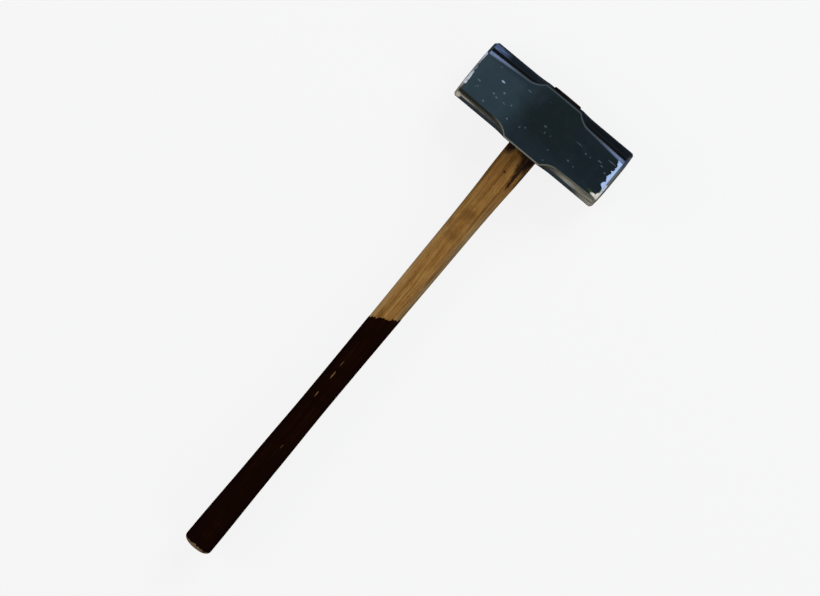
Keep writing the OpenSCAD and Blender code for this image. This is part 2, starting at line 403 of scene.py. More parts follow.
class Effects:
    """The shader node groups that the finishes share, each built once."""

    def __init__(self) -> None:
        """Builds every group."""
        self.ragged = self._ragged()
        self.specks = self._specks()
        self.mark = self._mark()
        self.scratches = self._scratches()
        self.grain = self._grain()

    def _ragged(self) -> bpy.types.NodeTree:
        """Edge that wanders: Depth plus noise times Wander, stepped smoothly over Softness.

        Returns:
            The group, whose Mask is 1 where Depth is positive.
        """
        inputs = {"Depth": 0.0, "Scale": 300.0, "Wander": 0.004, "Softness": 0.0006}
        t, given, out = new_effect("ragged_edge", inputs, "Mask")
        coarse = t.noise(given["Vector"], given["Scale"], 4.0, 0.65)
        depth = t.plus(given["Depth"], t.times(t.minus(coarse, 0.5), given["Wander"], 2.0))
        low = t.times(given["Softness"], -1.0)
        t.put(out.inputs["Mask"], t.band(depth, low, given["Softness"]))
        return t.tree

    def _specks(self) -> bpy.types.NodeTree:
        """Small chips: cells of a Voronoi pattern, each kept if its random value is under Share.

        Returns:
            The group, whose Mask is 1 on the chips.
        """
        t, given, out = new_effect("specks", {"Scale": 200.0, "Share": 0.1, "Size": 0.2}, "Mask")
        finer = t.times(given["Scale"], 2.5)
        wobble = t.node("TexNoise", {"Vector": given["Vector"], "Scale": finer}).outputs["Color"]
        sway = {0: wobble, 1: (0.0015, 0.0015, 0.0015), 2: given["Vector"]}
        bent = t.node("VectorMath", sway, operation="MULTIPLY_ADD").outputs[0]
        cells = t.node("TexVoronoi", {"Vector": bent, "Scale": given["Scale"]})
        pick, grow, _ = t.apart(cells.outputs["Color"])
        size = t.times(given["Size"], t.plus(grow, 0.3))
        near = t.band(cells.outputs["Distance"], size, t.times(size, 0.6))
        t.put(out.inputs["Mask"], t.times(near, t.math("LESS_THAN", pick, given["Share"])))
        return t.tree

    def _mark(self) -> bpy.types.NodeTree:
        """One blot: an ellipse about Centre with half-sizes Reach, whose edge noise roughens.

        Returns:
            The group, whose Mask is 1 on the blot.
        """
        centre, reach = (0.0, 0.0, 0.0), (0.01, 0.01, 0.05)
        inputs = {"Centre": centre, "Reach": reach, "Rough": 0.4, "Scale": 400.0, "Softness": 0.25}
        t, given, out = new_effect("mark", inputs, "Mask")
        away = t.vector("SUBTRACT", given["Vector"], given["Centre"])
        part = t.vector("DIVIDE", away, given["Reach"])
        length = t.node("VectorMath", {0: part}, operation="LENGTH").outputs["Value"]
        ragged = t.noise(given["Vector"], given["Scale"], 3.0, 0.6)
        edge = t.plus(length, t.times(t.minus(ragged, 0.5), given["Rough"], 2.0))
        high, low = t.plus(1.0, given["Softness"]), t.minus(1.0, given["Softness"])
        t.put(out.inputs["Mask"], t.band(edge, high, low))
        return t.tree

    def _scratches(self) -> bpy.types.NodeTree:
        """Thin lines: noise drawn out along one axis by Stretch, kept only near its middle value.

        Returns:
            The group, whose Mask is 1 on the lines.
        """
        inputs = {"Stretch": (60.0, 900.0, 900.0), "Width": 0.012, "Share": 0.4}
        t, given, out = new_effect("scratches", inputs, "Mask")
        value = t.drawn(given["Vector"], given["Stretch"], 1.0, 0.4)
        line = t.band(t.unsigned(t.minus(value, 0.5)), given["Width"], 0.0)
        where = t.noise(given["Vector"], 55.0, 2.0, 0.5)
        low = t.minus(1.0, given["Share"])
        t.put(out.inputs["Mask"], t.times(line, t.band(where, low, t.plus(low, 0.08))))
        return t.tree

    def _grain(self) -> bpy.types.NodeTree:
        """Long wood grain: noise stretched along X in three widths, bent by a slow wander.

        Returns:
            The group, whose outputs run from the widest figure to the finest pores.
        """
        t, given, out = new_effect("long_grain", {"Wander": 0.0025}, "Figure", "Streaks", "Pores")
        wide = t.vector("MULTIPLY", given["Vector"], (1.0, 2.0, 2.0))
        slow = t.node("TexNoise", {"Vector": wide, "Scale": 14.0, "Detail": 2.0}).outputs["Color"]
        sway = {0: t.vector("SUBTRACT", slow, (0.5, 0.5, 0.5)), "Scale": t.times(given["Wander"], 2.0)}
        bent = t.vector("ADD", given["Vector"], t.node("VectorMath", sway, operation="SCALE").outputs[0])
        t.put(out.inputs["Figure"], t.drawn(bent, (4.0, 150.0, 110.0), 3.0, 0.55))
        t.put(out.inputs["Streaks"], t.drawn(bent, (14.0, 620.0, 520.0), 3.0, 0.6))
        t.put(out.inputs["Pores"], t.band(t.drawn(bent, (170.0, 2300.0, 2000.0), 1.5, 0.5), 0.62, 0.7))
        return t.tree


@dataclass(frozen=True)
class Mark:
    """A blot at x and y in millimetres on the upper side of a piece, with its half-sizes."""

    x: float
    y: float
    half_x: float
    half_y: float
    rough: float = 0.5
    strength: float = 1.0

    def mask(self, s: "Surface", softness: float) -> Output:
        """Places this blot in a material.

        Args:
            s: the material in the making.
            softness: how wide its edge is, as a share of its size.

        Returns:
            The blot's mask.
        """
        shape = s.effect(
            s.effects.mark,
            Centre=(self.x * MM, self.y * MM, UPPER_CHEEK),
            Reach=(self.half_x * MM, self.half_y * MM, MARK_DEPTH),
            Rough=self.rough,
            Scale=MARK_GRIT / max(1.0, (self.half_x * self.half_y) ** 0.5),
            Softness=softness,
        )
        return s.times(shape, self.strength)


class Surface(Tree):
    """A material in the making, with its shader, Object coordinates and the shared effects."""

    def __init__(self, name: str, effects: Effects | None = None) -> None:
        """Makes an empty material.

        Args:
            name: the material's name.
            effects: the shared node groups, if it uses any.
        """
        self.material = bpy.data.materials.new(name)
        self.material.use_nodes = True
        super().__init__(self.material.node_tree)
        self.effects = effects
        self.shader = next(n for n in self.tree.nodes if n.type == "BSDF_PRINCIPLED")
        self.place = self.node("TexCoord").outputs["Object"]
        self.x, self.y, self.z = self.apart(self.place)

    def shade(self, **values: Feed) -> None:
        """Feeds the shader's inputs, each named with _ for a space."""
        for name, value in values.items():
            self.put(self.shader.inputs[name.replace("_", " ")], value)

    def bump(self, height: Feed, depth: float) -> None:
        """Feeds a height to the shader's normal through a Bump node of this depth in metres."""
        made = self.node("Bump", {"Strength": 1.0, "Distance": depth, "Height": height})
        self.put(self.shader.inputs["Normal"], made.outputs["Normal"])

    def masks(self, *names: str) -> list[Output]:
        """Outputs of the piece's own masks."""
        return [self.node("Attribute", attribute_name=name).outputs["Fac"] for name in names]

    def effect(self, effect: bpy.types.NodeTree, **values: Feed) -> Output:
        """Mask of a shared effect on Object coordinates, with a link or a value for each input."""
        return self.group(effect, Vector=self.place, **values)["Mask"]

    def blots(self, marks: tuple[Mark, ...], softness: float) -> Output:
        """Largest of several marks' masks."""
        return self.most(*(mark.mask(self, softness) for mark in marks))


# ------------------------------------------------------------------ finishes


@dataclass(frozen=True)
class PaintedForging:
    """Satin blue-black paint over forged steel, chipped at the faces and rubbed on the edges, with painted
    reflections, highlights and shade.
    """

    front_y: float
    rear_y: float
    # Paint tones with a painted reflection in them: lightest on the rear arm, darker on the front arm,
    # darkest over the eye block
    rear_arm: RGB = (0.0195, 0.0375, 0.0500)
    front_arm: RGB = (0.0036, 0.0100, 0.0140)
    middle: RGB = (0.0040, 0.0100, 0.0120)
    low_tint: RGB = (0.0075, 0.0165, 0.0235)
    # Painted shade under the top edge of the cheek
    under_edge_shade: RGB = (0.0065, 0.0140, 0.0230)
    scuffed: RGB = (0.040, 0.058, 0.070)
    nicked: RGB = (0.12, 0.17, 0.23)
    chipped: RGB = (0.36, 0.46, 0.60)
    # Coves, mostly painted reflection and shade: the top side is black with blue lights, the handle's side
    # olive and tan
    wall: RGB = (0.0006, 0.0012, 0.0020)
    ledge_rear: RGB = (0.0032, 0.0062, 0.0118)
    ledge_front: RGB = (0.0003, 0.0022, 0.0046)
    ledge_streak: RGB = (0.0050, 0.0095, 0.0200)
    ledge_sky_reflection: RGB = (0.085, 0.125, 0.24)
    ledge_low: RGB = (0.026, 0.037, 0.047)
    olive_shade: RGB = (0.014, 0.013, 0.008)
    olive: RGB = (0.036, 0.035, 0.024)
    olive_light: RGB = (0.090, 0.086, 0.064)
    forging: RGB = (0.43, 0.405, 0.335)
    forging_dark: RGB = (0.12, 0.110, 0.088)
    forging_pale: RGB = (0.56, 0.50, 0.42)
    grey_streak: RGB = (0.36, 0.41, 0.42)
    # Cheek edges, rubbed paint with a painted highlight: near the block and at the faces on the top side,
    # and on the handle's side, where painted shade dims the rest
    edge_block_rub_and_highlight: RGB = (0.048, 0.062, 0.072)
    edge_face_rub_and_highlight: RGB = (0.150, 0.200, 0.340)
    edge_low_wear_and_highlight: RGB = (0.210, 0.200, 0.160)
    edge_in_shade: RGB = (0.022, 0.021, 0.015)
    steel: RGB = (0.44, 0.60, 0.92)
    struck: RGB = (0.250, 0.262, 0.270)
    struck_dark: RGB = (0.165, 0.175, 0.182)
    struck_line: RGB = (0.46, 0.49, 0.52)
    pit: RGB = (0.022, 0.022, 0.022)
    rust: RGB = (0.060, 0.032, 0.018)
    dust: RGB = (0.74, 0.71, 0.62)
    moss: RGB = (0.022, 0.038, 0.010)
    # Bare steel beside the front face: its width by height on the cheek, both in millimetres
    bare_front: tuple[tuple[float, float], ...] = (
        (-36.0, 0.0), (-13.5, 3.3), (-11.2, 4.4), (-9.7, 6.6), (-8.2, 8.6), (-6.0, 8.0),
        (-3.4, 5.4), (-0.8, 7.6), (2.1, 8.6), (5.4, 7.4), (8.0, 7.2), (8.75, 8.8), (9.6, 7.0),
        (11.7, 6.2), (16.1, 7.0), (20.6, 8.4), (22.6, 9.8), (24.0, 12.0), (36.0, 12.0),
    )
    # Worn strip round the rear face in the same way, and the colours of both rims by height
    bare_rear: tuple[tuple[float, float], ...] = (
        (-36.0, 3.4), (-22.0, 3.0), (-19.5, 3.2), (-17.5, 4.6), (-10.0, 4.4), (-3.0, 3.9),
        (-1.0, 2.6), (2.5, 3.8), (4.5, 2.5), (13.0, 2.5), (20.0, 3.0), (22.5, 1.2), (36.0, 0.8),
    )
    rear_rim: tuple[tuple[float, RGB], ...] = (
        (-36.0, (0.36, 0.31, 0.24)), (-23.0, (0.30, 0.27, 0.22)), (-19.0, (0.34, 0.34, 0.32)),
        (-16.5, (0.60, 0.64, 0.68)), (-5.0, (0.52, 0.58, 0.66)), (-1.0, (0.24, 0.28, 0.34)),
        (6.0, (0.22, 0.24, 0.28)), (12.0, (0.42, 0.47, 0.54)), (20.0, (0.54, 0.66, 0.86)),
        (23.0, (0.060, 0.080, 0.130)), (36.0, (0.020, 0.028, 0.040)),
    )
    front_rim: tuple[tuple[float, RGB], ...] = (
        (-36.0, (0.27, 0.235, 0.19)), (-20.0, (0.32, 0.29, 0.24)), (-17.5, (0.62, 0.65, 0.68)),
        (-7.0, (0.52, 0.58, 0.66)), (-5.0, (0.15, 0.16, 0.17)), (12.0, (0.13, 0.135, 0.14)),
        (18.0, (0.060, 0.080, 0.130)), (29.0, (0.020, 0.030, 0.055)), (36.0, (0.012, 0.016, 0.024)),
    )
    chips: tuple[Mark, ...] = (
        Mark(8.4, 61.0, 0.9, 2.1, 0.6, 0.75),
        Mark(-0.0, 52.7, 0.9, 1.0, 0.6, 0.27),
        Mark(-7.1, 61.0, 0.7, 1.2, 0.6, 0.27),
        Mark(-8.6, 56.2, 0.6, 1.3, 0.6, 0.21),
        Mark(-18.5, 34.1, 0.8, 0.8, 0.6, 0.27),
        Mark(-20.0, 64.6, 0.7, 1.2, 0.6, 0.24),
        Mark(-6.2, 81.4, 0.6, 1.8, 0.6, 0.21),
        Mark(-5.2, 39.0, 0.7, 0.7, 0.6, 0.24),
        Mark(-8.5, 46.8, 0.5, 2.0, 0.8, 0.12),
        Mark(-11.7, 78.6, 0.6, 0.8, 0.8, 0.16),
        Mark(-13.6, 80.2, 0.6, 0.6, 0.8, 0.13),
        Mark(19.0, 72.0, 0.6, 0.9, 0.6, 0.13),
        Mark(18.5, 33.6, 0.5, 2.2, 0.7, 0.17),
        Mark(9.1, -40.3, 0.4, 4.0, 0.8, 0.13),
        Mark(8.6, -67.9, 0.5, 2.4, 0.9, 0.21),
        Mark(6.2, -72.3, 0.5, 1.6, 0.9, 0.21),
        Mark(5.7, -51.8, 0.8, 1.1, 0.8, 0.12),
        Mark(5.7, -57.6, 0.6, 1.0, 0.8, 0.10),
        Mark(2.6, -79.4, 0.7, 0.9, 0.6, 0.18),
        Mark(15.6, -78.7, 0.5, 5.0, 0.9, 0.18),
        Mark(-16.5, -19.1, 0.6, 0.9, 0.6, 0.13),
        Mark(-27.8, -21.5, 0.6, 0.9, 0.6, 0.12),
        Mark(-11.6, -42.2, 0.9, 1.1, 0.8, 0.15),
        Mark(-13.1, -50.1, 0.6, 0.8, 0.6, 0.12),
        Mark(-16.9, 18.5, 0.9, 0.9, 0.8, 0.13),
        Mark(-13.4, 13.3, 0.8, 0.8, 0.8, 0.12),
        Mark(0.8, -1.9, 1.0, 1.7, 0.8, 0.13),
        Mark(-4.7, -5.3, 1.3, 0.7, 0.8, 0.12),
        Mark(-3.7, -12.2, 1.0, 0.5, 0.8, 0.11),
    )
    # Marks of the upper half alone, and the heights over which those and the dust fade in
    pale_spots: tuple[Mark, ...] = (
        Mark(-31.6, 89.6, 2.6, 3.4, 0.4), Mark(-30.2, 80.0, 0.8, 10.5, 0.5, 0.6),
    )
    grey_line: tuple[Mark, ...] = (Mark(-30.0, -57.0, 0.7, 8.5, 0.4, 0.85),)
    moss_spot: tuple[Mark, ...] = (Mark(-20.7, -78.6, 1.6, 2.4, 0.7, 0.75),)
    blunt_corner: tuple[Mark, ...] = (Mark(26.6, -92.0, 4.4, 5.6, 0.35, 0.8),)
    rubbed_corner: tuple[Mark, ...] = (Mark(30.2, -90.6, 1.8, 1.6, 0.5, 0.8),)
    dusty_corner: tuple[Mark, ...] = (
        Mark(-18.7, -89.2, 2.2, 2.4, 0.7), Mark(-21.9, -85.2, 1.7, 4.2, 0.8),
        Mark(-21.5, -88.6, 2.6, 2.6, 0.6),
    )
    upper_half: tuple[float, float] = (0.046, 0.052)
    dust_reach: tuple[float, float] = (0.056, 0.062)

    def material(self, effects: Effects) -> bpy.types.Material:
        """Builds the paint in layers, from the paint itself up to the bare steel.

        Args:
            effects: the shared node groups.

        Returns:
            A material that reads the head's edge, wall, shade, crease, ledge, rim and face masks.
        """
        s = Surface("painted_forging", effects)
        fine = s.noise(s.place, 260.0, 4.0, 0.6)
        colour = self._coves(s, self._paint(s), fine)
        colour, bare, worn = self._wear(s, colour)
        colour, face = self._faces(s, colour)
        wall, ledge = s.masks("wall", "ledge")
        rough = s.blend_value(s.most(wall, ledge), s.plus(0.44, s.times(fine, 0.16)), 0.85)
        rough = s.blend_value(face, s.blend_value(worn, rough, 0.7), 0.36)
        s.shade(
            Base_Color=colour,
            Metallic=s.most(s.times(bare, 0.2), s.times(face, 0.65)),
            Roughness=s.blend_value(bare, rough, 0.42),
            Specular_IOR_Level=0.13,
        )
        peel = s.times(s.noise(s.place, 900.0, 2.0, 0.5), 0.25)
        wavy = s.times(s.noise(s.place, 24.0, 3.0, 0.5), 1.6)
        loss = s.times(s.most(bare, worn, face), -0.8)
        s.bump(s.plus(peel, loss, wavy), 0.00012)
        return s.material

    def _paint(self, s: Surface) -> Output:
        """Paint of the flats: darkest over the eye block and lightest on the rear arm as a painted
        reflection, darker under the top edge as painted shade, scuffed along Y.

        Args:
            s: the material in the making.

        Returns:
            The paint's colour, with its chips.
        """
        cloud = s.noise(s.place, 22.0, 4.0, 0.6)
        from_block = s.unsigned(s.plus(s.y, 0.004))
        tone = s.band(s.plus(from_block, s.times(cloud, 0.03)), 0.026, 0.068)
        # Painted reflection: the paint is darkest over the eye block and lightest on the rear arm
        paint = s.blend(tone, self.middle, s.blend(s.band(s.y, -0.03, 0.03), self.front_arm, self.rear_arm))
        # Painted shade: darker under the top edge
        shadow = s.times(s.band(s.x, 0.0165, 0.0250), s.times(tone, 0.62))
        paint = s.blend(shadow, paint, self.under_edge_shade)
        low = s.times(s.band(s.x, -0.008, -0.028), s.band(s.y, 0.045, 0.010))
        paint = s.blend(s.times(low, 0.7), paint, self.low_tint)
        mottle = s.times(s.band(s.noise(s.place, 95.0, 5.0, 0.65), 0.4, 0.75), 0.20)
        brushed = s.drawn(s.place, (420.0, 26.0, 420.0), 3.0, 0.6)
        streaks = s.times(s.band(brushed, 0.5, 0.75), 0.16)
        scuffs = s.times(s.plus(mottle, streaks), s.band(tone, -0.6, 1.0), s.band(s.y, -0.12, 0.02))
        # Lighter towards the rear end, in the scuffs' colour
        near_end = s.times(s.band(s.y, 0.076, 0.094), 0.22)
        paint = s.blend(s.plus(scuffs, near_end), paint, self.scuffed)
        specks = s.effect(s.effects.specks, Scale=170.0, Share=0.10, Size=0.12)
        lines = s.effect(s.effects.scratches, Stretch=(700.0, 60.0, 300.0), Width=0.010, Share=0.42)
        paint = s.blend(s.most(s.times(specks, 0.28), s.times(lines, 0.14)), paint, self.nicked)
        return s.blend(s.blots(self.chips, 0.45), paint, self.chipped)

    def _coves(self, s: Surface, paint: Output, fine: Output) -> Output:
        """Coves and their edges, painted with reflections and shade: black walls and blue highlights on the
        top side, olive and tan below.

        Args:
            s: the material in the making.
            paint: the colour so far.
            fine: fine noise.

        Returns:
            The colour with the coves over it.
        """
        edge, wall, shade, crease, ledge = s.masks("edge", "wall", "shade", "crease", "ledge")
        low = s.band(s.x, 0.002, -0.002)
        high = s.minus(1.0, low)
        from_middle = s.unsigned(s.y)
        out = s.band(from_middle, 0.045, 0.09)
        striae = s.drawn(s.place, (1300.0, 45.0, 1300.0), 4.0, 0.65)
        uneven = s.band(s.plus(s.times(fine, 0.6), s.times(striae, 0.4)), 0.3, 0.62)
        front_low = s.times(low, s.band(s.y, -0.024, -0.052))
        bare = s.blend(s.band(striae, 0.38, 0.60), self.forging_dark, self.forging)

        # Walls: black on the top side and olive on the handle's side, painted dark reflection and shade,
        # with a darker painted shade line where the lower walls start and worn forging low by the front
        # face
        low_walls = s.blend(s.band(striae, 0.36, 0.62), self.olive, self.olive_light)
        walls = s.blend(low, self.wall, low_walls)
        walls = s.blend(s.times(shade, s.times(low, 0.85)), walls, self.olive_shade)
        walls = s.blend(front_low, walls, bare)
        # Ledges: painted reflection, dark navy with streaks and a bright blue patch near the rear end, dark
        # blue on the handle's side, with worn forging low by the front face
        ledges = s.blend(s.band(s.y, -0.03, 0.03), self.ledge_front, self.ledge_rear)
        ledges = s.blend(s.times(out, s.band(striae, 0.46, 0.64)), ledges, self.ledge_streak)
        far_rear = s.times(s.band(s.y, 0.068, 0.084), s.band(striae, 0.34, 0.54))
        ledges = s.blend(far_rear, ledges, self.ledge_sky_reflection)
        ledges = s.blend(low, ledges, self.ledge_low)
        near_front = s.times(low, s.band(s.y, -0.062, -0.088))
        ledges = s.blend(s.times(near_front, s.band(striae, 0.36, 0.50)), ledges, bare)
        colour = s.blend(wall, s.blend(ledge, paint, ledges), walls)

        # A tan line along the lower creases: part wear, part painted highlight
        far_low = s.times(low, s.band(from_middle, 0.02, 0.075))
        patchy = s.plus(0.35, s.times(uneven, 0.65))
        colour = s.blend(s.times(crease, far_low, patchy), colour, self.edge_low_wear_and_highlight)
        colour = s.blend(self._upper(s, self.pale_spots), colour, self.forging_pale)
        colour = s.blend(self._upper(s, self.grey_line), colour, self.grey_streak)

        # Cheek edges: rubbed paint with a painted highlight, blue towards the faces on the top side and tan
        # on the handle's side, where the rear arm's edge is in painted shade
        top_edge = s.blend(out, self.edge_block_rub_and_highlight, self.edge_face_rub_and_highlight)
        runout = s.minus(1.0, s.band(from_middle, 0.034, 0.050))
        low_edge = s.blend(s.most(runout, front_low), self.edge_in_shade, self.edge_low_wear_and_highlight)
        strength = s.plus(0.62, s.times(high, 0.10), s.times(uneven, 0.28))
        return s.blend(s.times(edge, strength), colour, s.blend(low, top_edge, low_edge))

    def _upper(self, s: Surface, marks: tuple[Mark, ...]) -> Output:
        """Mask of marks that stay in the upper half of the head."""
        return s.times(s.blots(marks, 0.35), s.band(s.z, *self.upper_half))

    def _strip(
        self, s: Surface, widths: tuple[tuple[float, float], ...], away: Output, scale: float, wander: float
    ) -> Output:
        """Mask of a strip with a ragged edge beside a striking face.

        Args:
            s: the material in the making.
            widths: its width by height on the cheek, both in millimetres.
            away: distance from the face.
            scale: scale of the noise in its edge.
            wander: how far the noise moves its edge.

        Returns:
            The strip's mask.
        """
        depth = s.minus(s.width_along(s.x, widths), away)
        return s.effect(s.effects.ragged, Depth=depth, Scale=scale, Wander=wander, Softness=0.0003)

    def _wear(self, s: Surface, colour: Output) -> tuple[Output, Output, Output]:
        """Wear beside the faces: bare steel with a ragged edge, worn rims and a dusty corner.

        Args:
            s: the material in the making.
            colour: the colour so far.

        Returns:
            The colour, the mask of bright steel and the mask of dull wear.
        """
        edge, wall, crease, ledge, rim = s.masks("edge", "wall", "crease", "ledge", "rim")
        flat = s.minus(1.0, s.most(wall, crease, ledge))
        from_middle = s.unsigned(s.minus(s.z, UPPER_CHEEK / 2.0))
        on_cheek = s.times(s.band(from_middle, 0.0300, 0.0322), flat)
        # The heights wander a little, so that nothing ends on a straight line
        height = s.plus(s.x, s.times(s.minus(s.noise(s.place, 210.0, 3.0, 0.6), 0.5), 0.006))
        broken = s.band(s.noise(s.place, 240.0, 4.0, 0.65), 0.34, 0.50)

        bare = self._strip(s, self.bare_front, s.minus(s.y, self.front_y), 480.0, 0.0024)
        kept = s.minus(1.0, s.most(rim, s.band(edge, 0.1, 0.5)))
        bare = s.times(bare, s.times(on_cheek, s.band(s.x, -0.0140, -0.0125)), kept)
        rear = self._strip(s, self.bare_rear, s.minus(self.rear_y, s.y), 300.0, 0.0014)
        rear = s.times(rear, s.plus(0.35, s.times(broken, 0.65)))
        front = s.times(rim, s.math("LESS_THAN", s.y, 0.0), s.plus(0.7, s.times(broken, 0.3)))

        colour = s.blend(self._upper(s, self.moss_spot), colour, self.moss)
        colour = s.blend(s.times(self._upper(s, self.blunt_corner), flat), colour, self.scuffed)
        colour = s.blend(rear, colour, s.ramp_along(height, self.rear_rim))
        colour = s.blend(bare, colour, self.steel)
        colour = s.blend(front, colour, s.ramp_along(height, self.front_rim))
        colour = s.blend(self._upper(s, self.rubbed_corner), colour, self.forging_dark)
        dusty = s.times(self._upper(s, self.dusty_corner), flat, s.band(s.z, *self.dust_reach))
        grit = s.band(s.noise(s.place, 420.0, 3.0, 0.65), 0.36, 0.54)
        colour = s.blend(dusty, colour, s.blend(grit, self.forging, self.dust))
        return colour, s.times(bare, s.minus(1.0, dusty)), s.most(dusty, rear, front)

    def _faces(self, s: Surface, colour: Output) -> tuple[Output, Output]:
        """Struck faces: clouded grey steel with fine scratches both ways, small pits and a little rust.

        Args:
            s: the material in the making.
            colour: the colour so far.

        Returns:
            The colour and the mask of the faces.
        """
        (face,) = s.masks("face")
        cloud = s.noise(s.place, 34.0, 3.0, 0.5)
        steel = s.blend(s.band(cloud, 0.30, 0.70), self.struck_dark, self.struck)
        rusty = s.band(s.noise(s.place, 62.0, 4.0, 0.6), 0.56, 0.72)
        steel = s.blend(s.times(rusty, 0.35), steel, self.rust)
        for stretch, strength in (((130.0, 60.0, 2400.0), 0.42), ((2100.0, 60.0, 150.0), 0.34)):
            lines = s.effect(s.effects.scratches, Stretch=stretch, Width=0.03, Share=0.62)
            steel = s.blend(s.times(lines, strength), steel, self.struck_line)
        pits = s.effect(s.effects.specks, Scale=420.0, Share=0.22, Size=0.20)
        return s.blend(face, colour, s.blend(s.times(pits, 0.7), steel, self.pit)), face


@dataclass(frozen=True)
class HandleWood:
    """Lacquered hardwood with straight grain, stained where it enters the head."""

    dark: RGB = (0.082, 0.034, 0.0070)
    mid: RGB = (0.182, 0.081, 0.0175)
    light: RGB = (0.292, 0.149, 0.039)
    pale: RGB = (0.410, 0.245, 0.095)
    grey: RGB = (0.330, 0.255, 0.140)
    stain: RGB = (0.0105, 0.0026, 0.0009)
    grime: RGB = (0.0040, 0.0034, 0.0030)
    knot: RGB = (0.022, 0.008, 0.003)
    stains: tuple[Mark, ...] = (
        Mark(-37.6, 13.4, 10.5, 7.0, 0.5),
        Mark(-38.5, -10.8, 17.0, 9.0, 0.5),
        Mark(-35.5, -3.2, 8.5, 3.8, 0.6),
        Mark(-35.0, 0.4, 4.8, 4.6, 0.6, 0.85),
        Mark(-35.0, 6.6, 4.2, 4.0, 0.7, 0.40),
        Mark(-47.0, -5.4, 5.4, 2.7, 0.6, 0.70),
        Mark(-45.0, -8.4, 19.0, 3.6, 0.6, 0.9),
        Mark(-62.0, -10.4, 17.0, 2.3, 0.6),
        Mark(-52.0, -17.4, 32.0, 3.0, 0.6, 0.8),
    )
    blotches: tuple[Mark, ...] = (
        Mark(-121.0, 0.2, 6.0, 8.0, 0.9, 0.60),
        Mark(-150.0, -0.5, 7.0, 8.0, 0.9, 0.50),
        Mark(-140.0, 11.0, 5.0, 3.0, 0.9, 0.40),
        Mark(-97.0, 3.0, 9.0, 7.0, 0.9, 0.25),
    )
    knots: tuple[Mark, ...] = (Mark(-63.2, 1.2, 1.5, 1.7, 0.4, 0.8),)

    def material(self, effects: Effects) -> bpy.types.Material:
        """Builds the wood.

        Args:
            effects: the shared node groups.

        Returns:
            A material with grain along X.
        """
        s = Surface("handle_wood", effects)
        grain = s.group(effects.grain, Vector=s.place, Wander=0.0028)
        figure, streaks, pores = grain["Figure"], grain["Streaks"], grain["Pores"]
        blotch = s.drawn(s.place, (34.0, 75.0, 75.0), 3.0, 0.6)
        down = s.band(s.x, -0.05, -0.24)
        side = s.times(s.band(s.y, 0.004, 0.015), down)
        near_head = s.times(s.band(s.x, -0.085, -0.055), 0.022)
        lift = s.plus(s.times(down, 0.035), s.times(side, 0.15), near_head)
        tone = s.plus(s.times(figure, 0.38), s.times(streaks, 0.34), s.times(blotch, 0.28), lift)
        wood = s.ramp(tone, [(0.36, self.dark), (0.47, self.mid), (0.58, self.light), (0.72, self.pale)])
        bleached = s.times(s.band(s.y, -0.0075, -0.0130), s.band(s.x, -0.065, -0.150))
        bleached = s.times(bleached, s.band(streaks, 0.34, 0.62))
        wood = s.blend(s.times(bleached, 0.68), wood, self.grey)
        wood = s.blend(s.times(pores, 0.35), wood, self.dark)
        wood = s.blend(s.blots(self.blotches, 0.8), wood, self.dark)
        wood = s.blend(s.blots(self.knots, 0.5), wood, self.knot)
        streaky = s.plus(0.84, s.times(s.band(streaks, 0.35, 0.55), 0.16))
        wood = s.blend(s.times(s.blots(self.stains, 0.35), streaky), wood, self.stain)
        wood = s.blend(s.times(s.band(s.x, 0.031, 0.0355), 0.985), wood, self.grime)
        rough = s.plus(0.42, s.times(streaks, 0.2))
        s.shade(Base_Color=wood, Roughness=rough, Specular_IOR_Level=0.045)
        s.bump(s.minus(s.times(streaks, 0.8), pores), 0.00012)
        return s.material


@dataclass(frozen=True)
class DippedFilm:
    """Very dark brown film with faint lengthwise streaks, scratched and worn through to the wood."""

    film: RGB = (0.0056, 0.0010, 0.0001)
    faded: RGB = (0.0115, 0.0030, 0.0008)
    wood: RGB = (0.21, 0.115, 0.045)
    rim: RGB = (0.30, 0.205, 0.105)
    butt_x: float = -0.573
    rim_width: float = 0.0043
    nicks: tuple[Mark, ...] = (
        Mark(-324.5, 3.8, 3.2, 0.35, 0.6),
        Mark(-339.5, 3.6, 4.6, 0.65, 0.6),
        Mark(-365.5, 4.2, 3.6, 0.55, 0.6),
        Mark(-431.0, -3.0, 2.4, 0.25, 0.6),
    )

    def material(self, effects: Effects) -> bpy.types.Material:
        """Builds the film.

        Args:
            effects: the shared node groups.

        Returns:
            A material that shows wood at the nicks and round the butt's rim.
        """
        s = Surface("dipped_film", effects)
        streaks = s.group(effects.grain, Vector=s.place, Wander=0.002)["Streaks"]
        cloud = s.noise(s.place, 40.0, 4.0, 0.6)
        faint = s.times(s.band(streaks, 0.4, 0.7), s.band(cloud, 0.35, 0.65))
        nicks = s.blots(self.nicks, 0.3)
        lines = s.effect(effects.scratches, Stretch=(50.0, 900.0, 900.0), Width=0.008, Share=0.36)
        depth = s.minus(self.rim_width, s.minus(s.x, self.butt_x))
        rim = s.effect(effects.ragged, Depth=depth, Scale=260.0, Wander=0.0042, Softness=0.0005)
        left = s.band(s.noise(s.place, 120.0, 5.0, 0.65), 0.54, 0.62)
        rim = s.times(rim, s.minus(1.0, s.times(left, 0.8)))
        colour = s.blend(faint, self.film, self.faded)
        colour = s.blend(s.times(lines, 0.12), colour, self.wood)
        colour = s.blend(s.times(nicks, 0.75), colour, self.wood)
        colour = s.blend(s.times(rim, 0.85), colour, self.rim)
        bare = s.most(nicks, rim)
        rough = s.blend_value(bare, s.plus(0.58, s.times(cloud, 0.16)), 0.75)
        s.shade(Base_Color=colour, Roughness=rough, Specular_IOR_Level=0.015)
        s.bump(s.minus(s.times(streaks, 0.6), s.times(bare, 1.4)), 0.00012)
        return s.material


